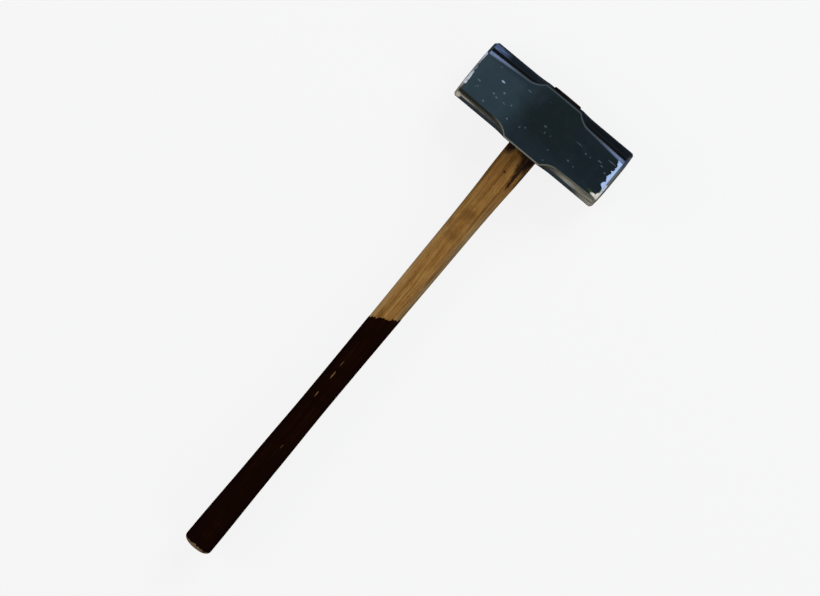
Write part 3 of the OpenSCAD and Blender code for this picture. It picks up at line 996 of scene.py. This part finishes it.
@dataclass(frozen=True)
class WedgeWood:
    """Pale hardwood seen mostly on its end grain."""

    dark: RGB = (0.10, 0.052, 0.022)
    light: RGB = (0.25, 0.155, 0.075)

    def material(self, effects: Effects) -> bpy.types.Material:
        """Builds the wedge's wood.

        Args:
            effects: the shared node groups.

        Returns:
            A material of the shared grain and a fine stipple.
        """
        s = Surface("wedge_wood", effects)
        figure = s.group(effects.grain, Vector=s.place, Wander=0.001)["Figure"]
        stipple = s.noise(s.place, 1600.0, 3.0, 0.6)
        tone = s.plus(s.times(figure, 0.6), s.times(stipple, 0.4))
        wood = s.ramp(tone, [(0.38, self.dark), (0.62, self.light)])
        s.shade(Base_Color=wood, Roughness=s.plus(0.6, s.times(stipple, 0.2)))
        s.bump(stipple, 0.0001)
        return s.material


@dataclass(frozen=True)
class WedgeSteel:
    """Bare mild steel, dulled and spotted with rust."""

    steel: RGB = (0.33, 0.33, 0.34)
    rust: RGB = (0.11, 0.045, 0.02)

    def material(self) -> bpy.types.Material:
        """Builds the steel.

        Returns:
            A material of fine scratches and patches of rust.
        """
        s = Surface("wedge_steel")
        patch = s.band(s.noise(s.place, 320.0, 5.0, 0.65), 0.48, 0.66)
        lines = s.drawn(s.place, (900.0, 5000.0, 300.0), 2.0, 0.5)
        s.shade(
            Base_Color=s.blend(patch, self.steel, self.rust),
            Metallic=s.blend_value(patch, 1.0, 0.1),
            Roughness=s.blend_value(patch, s.plus(0.3, s.times(lines, 0.2)), 0.8),
        )
        s.bump(s.plus(lines, patch), 0.00006)
        return s.material


# ------------------------------------------------------------------ sub-assemblies


@dataclass
class Eye:
    """Tapered oval hole through the head, narrow at its waist and flared at the top."""

    half_height: float
    axis_z: float
    width: float = 0.0336
    thickness: float = 0.025
    waist: float = 0.0016
    flare: float = 0.0014
    power: float = 2.2

    def halves(self, x: np.ndarray) -> tuple[np.ndarray, np.ndarray]:
        """Half-width and half-thickness at x.

        Args:
            x: places along the handle.

        Returns:
            The entry's size plus a smooth step up to the flare, less a parabola for the waist.
        """
        t = (x + self.half_height) / (2.0 * self.half_height)
        change = self.flare * ease(t) - self.waist * 4.0 * t * (1.0 - t)
        return (self.width + change) / 2.0, (self.thickness + change) / 2.0


@dataclass
class HammerHead:
    """Forged head: an eye block, two arms with hollow coves on their corners, two struck faces."""

    half_length: float
    half_height: float
    half_depth: float
    middle_y: float
    eye: Eye
    crown: float = 0.0011
    # Share of the struck face, out from its middle, that the crown leaves level
    level: float = 0.3
    arm_step: float = 0.0008
    half_block: float = 0.023
    runout: float = 0.019
    cove: float = 0.0082
    least_cut: float = 0.0006
    top_growth: float = 0.0022
    low_growth: float = 0.0008
    hollow: float = 0.8
    block_edge: float = 0.0018
    top_edge: float = 0.0042
    low_edge: float = 0.0026
    bevel: float = 0.0022
    bevel_round: float = 0.0007
    eye_round: float = 0.0011
    lead: float = 0.22
    edge_steps: int = 12
    cove_steps: int = 16
    side_steps: int = 48
    cheek_steps: int = 22
    block_rows: int = 47
    runout_rows: int = 34
    arm_rows: int = 30
    bend_rows: int = 7
    face_rows: int = 26

    def shares(self, y: np.ndarray) -> tuple[np.ndarray, np.ndarray]:
        """How far the cove has run out of the block, and how far along the arm y is.

        Args:
            y: places along the head.

        Returns:
            One less a falling power of 2.3 over the run-out, and a straight rise to the face.
        """
        t = np.clip((np.abs(y) - self.half_block) / self.runout, 0.0, 1.0)
        arm_start = self.half_block + self.runout
        arm = np.clip((np.abs(y) - arm_start) / (self.half_length - arm_start), 0.0, 1.0)
        return 1.0 - (1.0 - t) ** 2.3, arm

    def corner(self, y: np.ndarray, growth: float, edge: float) -> tuple[np.ndarray, dict[str, np.ndarray]]:
        """One long corner of the head, from the cheek's flat to the side's flat.

        Args:
            y: places along the head.
            growth: extra width of the cove at the striking face.
            edge: rounding of the cove's edges at the striking face.

        Returns:
            Points as places by steps by X and Z, and masks for the parts of the corner. The cove is
            a quadratic Bezier, and two more round its edges. The masks count along it from 0 to 1
            over the cheek's edge, to 2 over the cove and to 3 over the side's edge.
        """
        share, arm = self.shares(y)
        flank = self.half_height - self.arm_step * share[:, None]
        radius = mix(self.block_edge, edge, arm)[:, None]
        cut = mix(self.least_cut, self.cove + growth * arm, share)[:, None]
        drop = mix(self.least_cut, self.cove + 0.5 * growth * arm, share)[:, None]
        one = np.ones_like(cut)
        start = np.stack([flank - cut, self.half_depth * one], -1)
        end = np.stack([flank, self.half_depth - drop], -1)
        inner = np.stack([start[..., 0], end[..., 1]], -1)
        scoop = mix((start + end) / 2.0, inner, (self.hollow * share)[:, None, None])
        lead_in = bezier(start, scoop, end, self.lead)
        lead_out = bezier(start, scoop, end, 1.0 - self.lead)
        before = start - np.stack([radius, 0.0 * radius], -1)
        after = end - np.stack([0.0 * radius, radius * 0.7], -1)
        first, middle, last = (
            np.linspace(0.0, 1.0, n)[None, :, None]
            for n in (self.edge_steps, self.cove_steps, self.edge_steps)
        )
        points = np.concatenate(
            [
                bezier(before, start, lead_in, first),
                bezier(start, scoop, end, mix(self.lead, 1.0 - self.lead, middle[:, 1:])),
                bezier(lead_out, end, after, last[:, 1:]),
            ],
            axis=1,
        )
        way = np.concatenate([first[0, :, 0], 1.0 + middle[0, 1:, 0], 2.0 + last[0, 1:, 0]])
        hold = np.ones_like(share)
        masks = {
            "edge": np.outer(hold, ease(way / 0.35) * ease((1.0 - way) / 0.12)),
            "wall": np.outer(share, ease((way - 0.88) / 0.12) * ease((1.80 - way) / 0.16)),
            "crease": np.outer(share, np.exp(-(((way - 1.80) / 0.12) ** 2))),
            "ledge": np.outer(share, ease((way - 1.66) / 0.16) * ease((3.0 - way) / 0.1)),
            "shade": np.outer(share, np.exp(-(((way - 1.06) / 0.16) ** 2))),
        }
        return points, masks

    def section(self, y: np.ndarray) -> tuple[np.ndarray, dict[str, np.ndarray]]:
        """Whole outline of the head at each y: four corners with a flat after each.

        Args:
            y: places along the head.

        Returns:
            Points as places by steps by X and Z about the head's axis, and each mask of the
            corners, which is 0 on the flats. The outline starts at the top corner of the upper
            cheek and goes by way of the top side and the lower cheek.
        """
        top, top_masks = self.corner(y, self.top_growth, self.top_edge)
        low, low_masks = self.corner(y, self.low_growth, self.low_edge)
        flip_x, flip_z = np.array([-1.0, 1.0]), np.array([1.0, -1.0])
        quarters = [top, (top * flip_z)[:, ::-1], low * flip_x * flip_z, (low * flip_x)[:, ::-1]]
        flats = [self.side_steps, self.cheek_steps, self.side_steps, self.cheek_steps]
        points = []
        for i, steps in enumerate(flats):
            here, there = quarters[i][:, -1:], quarters[(i + 1) % 4][:, :1]
            t = (np.arange(1, steps) / steps)[None, :, None]
            points += [quarters[i], mix(here, there, t)]
        masks = {}
        for name in top_masks:
            high, deep = top_masks[name], low_masks[name]
            parts = []
            for quarter, steps in zip((high, high[:, ::-1], deep, deep[:, ::-1]), flats):
                parts += [quarter, np.zeros((len(y), steps - 1))]
            masks[name] = np.concatenate(parts, 1)
        return np.concatenate(points, 1), masks

    def stations(self) -> np.ndarray:
        """Places along the head where its outline is worked out, without the bevels.

        Returns:
            Even steps over the block and the arms, and steps over the run-outs that a power of 1.35
            draws together beside the block.
        """
        run = self.half_block + self.runout * np.linspace(0.0, 1.0, self.runout_rows)[1:] ** 1.35
        last = self.half_length - self.crown - self.bevel - self.bevel_round
        arm = np.linspace(self.half_block + self.runout, last, self.arm_rows)[1:]
        half = np.concatenate([run, arm])
        block = np.linspace(-self.half_block, self.half_block, self.block_rows)
        return np.concatenate([-half[::-1], block, half])

    def bevel_profile(self) -> tuple[np.ndarray, np.ndarray]:
        """Profile of the rim: how far in from the face and from the outline, both corners rounded.

        Returns:
            Distances back from the face and in from the outline, from the arm to the face's flat.
        """
        b, r = self.bevel, self.bevel_round
        t = np.linspace(0.0, 1.0, self.bend_rows)[:, None]
        outer = bezier(np.array([b + r, 0.0]), np.array([b, 0.0]), np.array([b - r, r]), t)
        inner = bezier(np.array([r, b - r]), np.array([0.0, b]), np.array([0.0, b + r]), t)
        path = np.concatenate([outer, inner])
        return path[:, 0], path[:, 1]

    def inset_rings(
        self, side: float, back: np.ndarray, inset: np.ndarray
    ) -> tuple[np.ndarray, dict[str, np.ndarray]]:
        """Rings of the head's outline drawn in towards its axis.

        Args:
            side: 1 for the rear face, -1 for the front one.
            back: distance of each ring from the face.
            inset: how far each ring is drawn in.

        Returns:
            Rings by steps by 3, and the outline's masks.
        """
        y = side * (self.half_length - self.crown - back)
        outline, masks = self.section(y)
        scale = np.stack([1.0 - inset / self.half_height, 1.0 - inset / self.half_depth], -1)
        flat = outline * scale[:, None, :]
        depth = np.broadcast_to(self.middle_y + y[:, None], flat.shape[:2])
        return np.stack([flat[..., 0], depth, self.half_depth + flat[..., 1]], -1), masks

    def build(self, material: bpy.types.Material) -> bpy.types.Object:
        """Builds the head as arms, rims, faces and the eye, welded into one shell.

        Args:
            material: the painted forging.

        Returns:
            The head, which stands for the CAD node of that name.
        """
        patches = Patchwork()
        y = self.stations()
        outline, masks = self.section(y)
        depth = np.broadcast_to(y[:, None], outline.shape[:2])
        grid = np.stack([outline[..., 0], self.middle_y + depth, self.half_depth + outline[..., 1]], -1)

        # The two sides of the block are left open where the eye's rings take over
        row_open = np.abs((y[1:] + y[:-1]) / 2.0) < self.half_block
        column = np.arange(outline.shape[1])
        column_open = np.zeros(len(column), bool)
        for start in self.flat_starts():
            column_open |= (column >= start) & (column < start + self.side_steps)
        skip = (row_open[:, None] & column_open[None, :]).reshape(-1)
        patches.add(grid, True, skip, rim=0.0, face=0.0, **masks)

        blank = dict.fromkeys(masks, 0.0)
        back, inset = self.bevel_profile()
        for side in (-1.0, 1.0):
            rim, outline_masks = self.inset_rings(side, back, inset)
            # Ring by ring, the outline's masks give way to the rim's, and the rim's to the face's
            ring = np.arange(len(rim))[:, None]
            worn, struck = ease(ring / 4.0), ease((ring - 8.0) / 5.0)
            faded = {name: mask * (1.0 - worn) for name, mask in outline_masks.items()}
            patches.add(rim, True, rim=worn, face=struck, **faded)
            # The face narrows to its middle in steps, which a parabola lifts as the crown
            share = np.linspace(1.0, 0.0, self.face_rows)
            rise = self.crown * (1.0 - np.clip((share - self.level) / (1.0 - self.level), 0.0, 1.0) ** 2)
            centre = np.array([0.0, rim[-1, 0, 1], self.half_depth])
            face = centre + (rim[-1:] - centre) * share[:, None, None]
            face[..., 1] += side * rise[:, None]
            patches.add(face, True, rim=1.0, face=1.0, **blank)

        rows = np.flatnonzero(np.abs(y) <= self.half_block + 1e-9)
        patches.add(self._eye_rings(grid, rows), True, rim=0.0, face=0.0, **blank)
        piece = patches.build("head_forging")
        piece.data.materials.append(material)
        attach(piece, BODY)
        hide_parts("head")
        return piece

    def flat_starts(self) -> tuple[int, int]:
        """Finds where the flats of the head's top side and of the handle's side start.

        Returns:
            The first column of each.
        """
        corner = 2 * self.edge_steps + self.cove_steps - 2
        top = corner - 1
        return top, top + 2 * corner + (self.side_steps - 1) + (self.cheek_steps - 1)

    def _eye_rings(self, grid: np.ndarray, rows: np.ndarray) -> np.ndarray:
        """Rings from the open window in the top side, down through the eye, to the lower window.

        Args:
            grid: the head's outer points.
            rows: the rows of the block.

        Returns:
            Rings by points by 3. Each ring is a straight blend from the window's frame to an oval,
            then a quarter round, then the oval of the eye at that depth.
        """
        def frame_of(column: int, turned: bool) -> np.ndarray:
            """Frame of one window.

            Args:
                column: the window's first column.
                turned: reads the columns backwards, as on the lower side.

            Returns:
                Points round the window, starting at its first row and the side of positive Z.
            """
            window = grid[rows][:, column:column + self.side_steps + 1]
            window = window[:, ::-1] if turned else window
            return np.concatenate([window[:-1, 0], window[-1, :-1], window[:0:-1, -1], window[0, :0:-1]])

        top_start, low_start = self.flat_starts()
        top, low = frame_of(top_start, False), frame_of(low_start, True)
        z_half = np.abs(top[:, 2] - self.half_depth).max()
        up, across = (top[:, 2] - self.half_depth) / z_half, (top[:, 1] - self.middle_y) / self.half_block
        turn = np.arctan2(up, across)
        r, h = self.eye_round, self.half_height

        def ring(x: float, grow: float) -> np.ndarray:
            """Oval of the eye.

            Args:
                x: its place along the handle.
                grow: how far it is grown outwards.

            Returns:
                Points by 3, in step with the points of the windows' frames.
            """
            half_y, half_z = self.eye.halves(np.clip(x, -h, h))
            flat = oval(turn, np.array([half_y + grow]), np.array([half_z + grow]), self.eye.power)[0]
            return np.stack([np.full(len(turn), x), flat[:, 0], self.half_depth + flat[:, 1]], -1)

        def mouth(side: float, angles: np.ndarray) -> list[np.ndarray]:
            """Rings of the quarter round at one end, in by 1 - cos and out by 1 - sin of each angle."""
            return [ring(side * (h - r * (1.0 - math.cos(a))), r * (1.0 - math.sin(a))) for a in angles]

        rings = [mix(top, ring(h, r), t) for t in np.linspace(0.0, 1.0, 12)]
        rings += mouth(1.0, np.linspace(0.0, math.pi / 2, self.bend_rows)[1:])
        rings += [ring(x, 0.0) for x in np.linspace(h - r, r - h, 16)[1:]]
        rings += mouth(-1.0, np.linspace(math.pi / 2, 0.0, self.bend_rows)[1:])
        rings += [mix(ring(-h, r), low, t) for t in np.linspace(0.0, 1.0, 12)[1:]]
        return np.stack(rings)


@dataclass
class Wood:
    """Outside of the handle: its oval at each distance below the head."""

    half_height: float
    axis_z: float
    length: float
    dome: float = 0.008
    power: float = 2.3
    # Distance below the head, width along Y and thickness along Z, in millimetres
    stations_mm: tuple[tuple[float, float, float], ...] = (
        (-40.0, 35.2, 26.8),
        (0.0, 35.2, 26.8),
        (30.0, 34.2, 26.4),
        (60.0, 32.0, 25.6),
        (100.0, 30.4, 25.0),
        (150.0, 29.7, 24.6),
        (230.0, 28.2, 24.0),
        (340.0, 27.3, 23.6),
        (400.0, 28.7, 24.4),
        (450.0, 29.6, 25.2),
        (500.0, 31.2, 26.2),
        (540.0, 31.6, 26.6),
        (640.0, 31.6, 26.6),
    )

    def halves(self, d: np.ndarray) -> tuple[np.ndarray, np.ndarray]:
        """Half-width and half-thickness at distances d, by Catmull-Rom through the stations.

        Args:
            d: distances below the head.

        Returns:
            Cubic Hermite values whose slopes come from each station's neighbours.
        """
        table = np.array(self.stations_mm) * MM
        at = table[:, 0]
        i = np.clip(np.searchsorted(at, d, side="right") - 1, 1, len(at) - 3)
        span = at[i + 1] - at[i]
        t = (d - at[i]) / span
        sizes = []
        for column in (1, 2):
            v = table[:, column]
            slope_in = (v[i + 1] - v[i - 1]) / (at[i + 1] - at[i - 1]) * span
            slope_out = (v[i + 2] - v[i]) / (at[i + 2] - at[i]) * span
            value = (2 * t**3 - 3 * t**2 + 1) * v[i] + (t**3 - 2 * t**2 + t) * slope_in
            sizes.append((value + (3 * t**2 - 2 * t**3) * v[i + 1] + (t**3 - t**2) * slope_out) / 2.0)
        return sizes[0], sizes[1]

    def surface(self, d: np.ndarray, turn: np.ndarray, skin: np.ndarray | float) -> np.ndarray:
        """Points of the handle's surface grown outwards by skin.

        Args:
            d: distance below the head of each point, as rows by angles.
            turn: angles round the section.
            skin: how far the surface is grown, in the shape of d or one value.

        Returns:
            Rows by angles by 3. Over the butt the oval shrinks as a superellipse of power 2.4.
        """
        way = np.clip((d - (self.length - self.dome)) / self.dome, 0.0, 1.0)
        shrink = (1.0 - way**2.4) ** (1.0 / 2.4)
        half_y, half_z = self.halves(d)
        c, s = np.cos(turn), np.sin(turn)
        y = (half_y * shrink + skin) * np.sign(c) * np.abs(c) ** (2.0 / self.power)
        z = (half_z * shrink + skin) * np.sign(s) * np.abs(s) ** (2.0 / self.power)
        return np.stack([-self.half_height - d - skin * way, y, self.axis_z + z], -1)

    def dome_steps(self, count: int) -> np.ndarray:
        """Distances over the butt up to its tip, where a sine brings them close together."""
        return self.length - self.dome * (1.0 - np.sin(np.linspace(0.0, math.pi / 2, count)[1:]))


@dataclass
class Handle:
    """Hardwood handle: an oval shaft, a tongue that fills the eye and slots for the wedges."""

    wood: Wood
    eye: Eye
    end_x: float
    slot_gap: float = 0.00002
    clearance: float = 0.0001
    end_round: float = 0.0008
    # The kerf and the steel wedges' slots: depth, and sizes along Y and Z at the top and the tip
    kerf_depth: float = 0.042
    kerf_top: tuple[float, float] = (0.043, 0.005)
    kerf_tip: tuple[float, float] = (0.043, 0.0008)
    steel_depth: float = 0.024
    steel_top: tuple[float, float] = (0.004, 0.017)
    steel_tip: tuple[float, float] = (0.0008, 0.017)
    steel_spacing: float = 0.015
    overcut: float = 0.003
    tongue_rows: int = 26
    shaft_rows: int = 330
    dome_rows: int = 16
    turns: int = 112

    def rings(self) -> np.ndarray:
        """Rings from the end of the tongue, down through the eye and the shaft, to the butt's tip.

        Returns:
            Rings by angles by 3.
        """
        turn = np.linspace(0.0, 2.0 * math.pi, self.turns, endpoint=False)
        top_y, top_z = self.eye.halves(np.array([self.eye.half_height]))
        end_y = top_y[0] - self.clearance - self.end_round
        end_z = top_z[0] - self.clearance - self.end_round
        rings = [self._ring(turn, self.end_x, end_y * share, end_z * share) for share in (0.0, 0.98, 1.0)]
        for a in np.linspace(0.0, math.pi / 2, 6)[1:]:
            out = self.end_round * math.sin(a)
            x = self.end_x - self.end_round * (1.0 - math.cos(a))
            rings.append(self._ring(turn, x, end_y + out, end_z + out))
        for x in np.linspace(self.eye.half_height, -self.eye.half_height, self.tongue_rows):
            half_y, half_z = self.eye.halves(np.array([x]))
            rings.append(self._ring(turn, x, half_y[0] - self.slot_gap, half_z[0] - self.slot_gap))
        tongue = np.stack(rings)
        straight = np.linspace(0.0, self.wood.length - self.wood.dome, self.shaft_rows)
        d = np.concatenate([straight, self.wood.dome_steps(self.dome_rows)])
        shaft = self.wood.surface(np.repeat(d[:, None], self.turns, 1), turn[None, :], 0.0)
        return np.concatenate([tongue, shaft])

    def _ring(self, turn: np.ndarray, x: float, half_y: float, half_z: float) -> np.ndarray:
        """One oval ring of the tongue at x, with these half-sizes."""
        flat = oval(turn, np.array([half_y]), np.array([half_z]), self.eye.power)[0]
        return np.stack([np.full(len(turn), x), flat[:, 0], self.eye.axis_z + flat[:, 1]], -1)

    def cutter(
        self, y: float, depth: float, top: tuple[float, float], tip: tuple[float, float]
    ) -> bpy.types.Object:
        """Wedge-shaped cutter for one slot.

        Args:
            y: its middle along Y.
            depth: how deep the wedge goes.
            top: the wedge's sizes along Y and Z at its top.
            tip: the same at its tip.

        Returns:
            A closed prism of three rectangles that reaches past the end of the tongue.
        """
        x = np.array([self.end_x + self.overcut, self.end_x, self.end_x - depth - self.slot_gap])
        half = np.array([top, top, tip]) / 2.0 + self.slot_gap
        corners = np.array([(1.0, 1.0), (-1.0, 1.0), (-1.0, -1.0), (1.0, -1.0)])
        flat = np.array([y, self.eye.axis_z]) + half[:, None, :] * corners
        points = np.concatenate([np.broadcast_to(x[:, None, None], (3, 4, 1)), flat], axis=-1)
        patches = Patchwork()
        patches.add(points, True)
        for end in (points[0], points[-1]):
            patches.add(end[[0, 1, 3, 2]].reshape(2, 2, 3), False)
        return patches.build("slot_cutter")

    def build(self, material: bpy.types.Material) -> bpy.types.Object:
        """Builds the handle and cuts the wedges' slots into its end.

        Args:
            material: the handle's wood.

        Returns:
            The handle, which stands for the CAD node of that name.
        """
        patches = Patchwork()
        patches.add(self.rings(), True)
        piece = patches.build("handle_wood")
        cutters = [self.cutter(0.0, self.kerf_depth, self.kerf_top, self.kerf_tip)]
        for y in (-self.steel_spacing / 2.0, self.steel_spacing / 2.0):
            cutters.append(self.cutter(y, self.steel_depth, self.steel_top, self.steel_tip))
        for cut in cutters:
            slot = piece.modifiers.new("slot", "BOOLEAN")
            slot.object, slot.operation, slot.solver = cut, "DIFFERENCE", "EXACT"
        evaluated = piece.evaluated_get(bpy.context.evaluated_depsgraph_get())
        carved = bpy.data.meshes.new_from_object(evaluated)
        piece.modifiers.clear()
        piece.data = carved
        for cut in cutters:
            bpy.data.objects.remove(cut)
        carved.materials.clear()
        carved.materials.append(material)
        carved.set_sharp_from_angle(angle=math.radians(40.0))
        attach(piece, BODY)
        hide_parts("handle")
        return piece


@dataclass
class GripFilm:
    """Film that the lower half of the handle was dipped in, with a toothed, slanted upper edge."""

    wood: Wood
    thickness: float
    gap: float = 0.00002
    start: float = 0.225
    slant: float = 0.62
    tooth: float = 0.0011
    lip: float = 0.0016
    lip_rows: int = 9
    film_rows: int = 190
    dome_rows: int = 20
    turns: int = 144

    def distances(self, turn: np.ndarray) -> np.ndarray:
        """Distance below the head of each point, from the film's edge to the start of the dome.

        Args:
            turn: angles round the section.

        Returns:
            Rows by angles: level rows low down, which take on the slant and the teeth above.
        """
        end = self.wood.length - self.wood.dome
        close = self.lip * np.linspace(0.0, 1.0, self.lip_rows) ** 1.2
        far = np.linspace(self.lip, end - self.start, self.film_rows)[1:]
        below = np.concatenate([close, far])
        fade = 1.0 - below / below[-1]
        half_y, _ = self.wood.halves(np.array([self.start]))
        slanted = half_y[0] * np.cos(turn) * self.slant
        round_way = turn / (2.0 * math.pi)
        teeth = self.tooth * (ripple(round_way, 7, 4, 9.0) + 0.6 * ripple(round_way, 11, 3, 23.0))
        return self.start + below[:, None] + (slanted + teeth)[None, :] * fade[:, None]

    def build(self, material: bpy.types.Material) -> bpy.types.Object:
        """Builds the film as an outer skin over the butt and an inner one against the wood.

        Args:
            material: the dipped film.

        Returns:
            The film, which stands for the CAD node grip_coating.
        """
        turn = np.linspace(0.0, 2.0 * math.pi, self.turns, endpoint=False)
        d = self.distances(turn)
        dome = np.repeat(self.wood.dome_steps(self.dome_rows)[:, None], self.turns, 1)
        # The skin rises to its full thickness over the lip, as a quarter of a circle does
        share = np.clip((d - d[:1]) / self.lip, 0.0, 1.0)
        lip = mix(self.gap, self.thickness, np.sqrt(share * (2.0 - share)))
        skin = np.concatenate([lip, np.full(dome.shape, self.thickness)])
        down = np.concatenate([d, dome])
        outer = self.wood.surface(down, turn[None, :], skin)
        inner = self.wood.surface(down, turn[None, :], self.gap)
        patches = Patchwork()
        for shell in (outer, inner):
            patches.add(shell, True)
            tip = shell[-1:].mean(axis=1, keepdims=True)
            fade = np.linspace(1.0, 0.0, 4)[:, None, None]
            patches.add(tip + (shell[-1:] - tip) * fade, True)
        piece = patches.build("grip_film", weld=1e-6)
        piece.data.materials.append(material)
        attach(piece, BODY)
        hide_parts("grip_coating")
        return piece


@dataclass
class Wedges:
    """The wooden wedge and the two steel ones, whose CAD shapes are right as they are."""

    wood_node: str = "wood_wedge"
    steel_nodes: tuple[str, ...] = ("steel_wedge_front", "steel_wedge_rear")

    def dress(self, wood: bpy.types.Material, steel: bpy.types.Material) -> None:
        """Gives the CAD nodes their finishes.

        Args:
            wood: the wooden wedge's finish.
            steel: the steel wedges' finish.
        """
        dress_node(self.wood_node, wood)
        for name in self.steel_nodes:
            dress_node(name, steel)


def dress_node(name: str, material: bpy.types.Material) -> None:
    """Gives every material slot of a CAD node's object the same material."""
    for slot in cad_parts[name].material_slots:
        slot.material = material


# ------------------------------------------------------------------ studio


class Softbox(Enum):
    """The studio's lamps: place, size, power and colour."""

    KEY = ((2.1, -0.2, 1.8), 1.6, 62.0, (0.92, 0.96, 1.0))
    FILL = ((-1.2, 2.0, 2.0), 2.0, 40.0, (1.0, 0.99, 0.97))
    FRONT = ((-0.4, -2.3, 1.7), 1.8, 30.0, (0.96, 0.98, 1.0))


@dataclass
class Studio:
    """Pale floor, soft lamps and a camera that looks almost straight down."""

    target: tuple[float, float, float] = (-0.2263, -0.0070, 0.050)
    distance: float = 6.0
    lens: float = 254.3
    sensor: float = 36.0
    # The camera's angles from straight above, towards the head's top and towards the front face
    tilt: float = math.radians(4.49)
    lean: float = math.radians(1.25)
    # Angle on the picture from its right-hand side up to the handle's axis
    roll: float = math.radians(50.28)
    floor_size: float = 14.0
    floor_drop: float = 0.0001
    floor_tone: float = 0.07
    # Soft light that the floor throws back at the hammer, and how bright it looks itself
    floor_glow: float = 0.22
    floor_seen: float = 0.855
    room_colour: RGB = (0.93, 0.96, 1.0)
    room_light: float = 0.10

    def floor(self) -> None:
        """Lays the floor as a large square just below the hammer."""
        half = self.floor_size / 2.0
        span = np.linspace(-half, half, 9)
        x, y = np.meshgrid(span, span, indexing="ij")
        patches = Patchwork()
        patches.add(np.stack([x, y, np.full_like(x, -self.floor_drop)], -1), False)
        piece = patches.build("studio_floor")
        if piece.data.polygons[0].normal.z < 0.0:
            piece.data.flip_normals()
        s = Surface("floor_paper")
        tooth = s.times(s.noise(s.place, 900.0, 2.0, 0.5), 0.04)
        ray = s.node("LightPath").outputs
        bounced = s.times(ray["Is Diffuse Ray"], self.floor_glow)
        seen = s.times(ray["Is Camera Ray"], self.floor_seen)
        s.shade(
            Base_Color=s.blend(tooth, (self.floor_tone,) * 3, (self.floor_tone * 0.9,) * 3),
            Roughness=0.9,
            Specular_IOR_Level=0.1,
            Emission_Color=(1.0, 1.0, 1.0),
            Emission_Strength=s.plus(bounced, seen),
        )
        piece.data.materials.append(s.material)

    def lamps(self) -> None:
        """Hangs the softboxes, each turned towards the hammer, in a dim even room."""
        for box in Softbox:
            place, size, power, colour = box.value
            lamp = bpy.data.lights.new(f"softbox_{box.name.lower()}", "AREA")
            lamp.shape, lamp.size, lamp.energy, lamp.color = "SQUARE", size, power, colour
            holder = bpy.data.objects.new(lamp.name, lamp)
            holder.location = place
            aim = Vector(self.target) - Vector(place)
            holder.rotation_euler = aim.to_track_quat("-Z", "Y").to_euler()
            bpy.context.scene.collection.objects.link(holder)
        world = bpy.data.worlds.new("studio_room")
        world.use_nodes = True
        background = next(n for n in world.node_tree.nodes if n.type == "BACKGROUND")
        background.inputs["Color"].default_value = (*self.room_colour, 1.0)
        background.inputs["Strength"].default_value = self.room_light
        bpy.context.scene.world = world

    def camera(self) -> None:
        """Sets the camera above the hammer, tilted a little towards the top of the head.

        The camera stands back from the target along a direction that tilts to positive X and
        leans to negative Y. The picture's right and up directions are the handle's axis, as seen
        from there, turned by the roll.
        """
        back = Vector((math.tan(self.tilt), -math.tan(self.lean), 1.0)).normalized()
        along = (Vector((1.0, 0.0, 0.0)) - back * back.x).normalized()
        across = back.cross(along)
        right = along * math.cos(self.roll) - across * math.sin(self.roll)
        up = along * math.sin(self.roll) + across * math.cos(self.roll)
        turn = Matrix((right, up, back)).transposed()
        lens = bpy.data.cameras.new("camera")
        lens.type, lens.lens, lens.sensor_width = "PERSP", self.lens, self.sensor
        lens.clip_start, lens.clip_end = 0.1, 60.0
        holder = bpy.data.objects.new("camera", lens)
        holder.matrix_world = Matrix.Translation(Vector(self.target) + back * self.distance) @ turn.to_4x4()
        bpy.context.scene.collection.objects.link(holder)
        bpy.context.scene.camera = holder

    def build(self) -> None:
        """Makes the floor, the lamps and the camera, and shows colours without a film look."""
        self.floor()
        self.lamps()
        self.camera()
        bpy.context.scene.view_settings.view_transform = "Standard"


def report(piece: bpy.types.Object) -> None:
    """Logs a piece's name and how many faces it has."""
    LOG.info("%s: %d faces", piece.name, len(piece.data.polygons))


def main() -> None:
    """Builds the hammer's visual pieces around the CAD frame, then the studio."""
    logging.basicConfig(level=logging.INFO, format="%(name)s: %(message)s")
    low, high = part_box("head")
    wood_low, wood_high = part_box("handle")
    half_height = (high[0] - low[0]) / 2.0
    half_depth = (high[2] - low[2]) / 2.0
    effects = Effects()
    eye = Eye(half_height, half_depth)
    head = HammerHead((high[1] - low[1]) / 2.0, half_height, half_depth, (high[1] + low[1]) / 2.0, eye)
    report(head.build(PaintedForging(low[1], high[1]).material(effects)))
    wood = Wood(half_height, half_depth, -half_height - wood_low[0])
    report(Handle(wood, eye, wood_high[0]).build(HandleWood().material(effects)))
    film = GripFilm(wood, wood_low[0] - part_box("grip_coating")[0][0])
    report(film.build(DippedFilm(butt_x=wood_low[0]).material(effects)))
    wedges = Wedges()
    wedges.dress(WedgeWood().material(effects), WedgeSteel().material())
    LOG.info("wedges: %d CAD nodes dressed", 1 + len(wedges.steel_nodes))
    Studio().build()


if __name__ == "__main__":
    main()
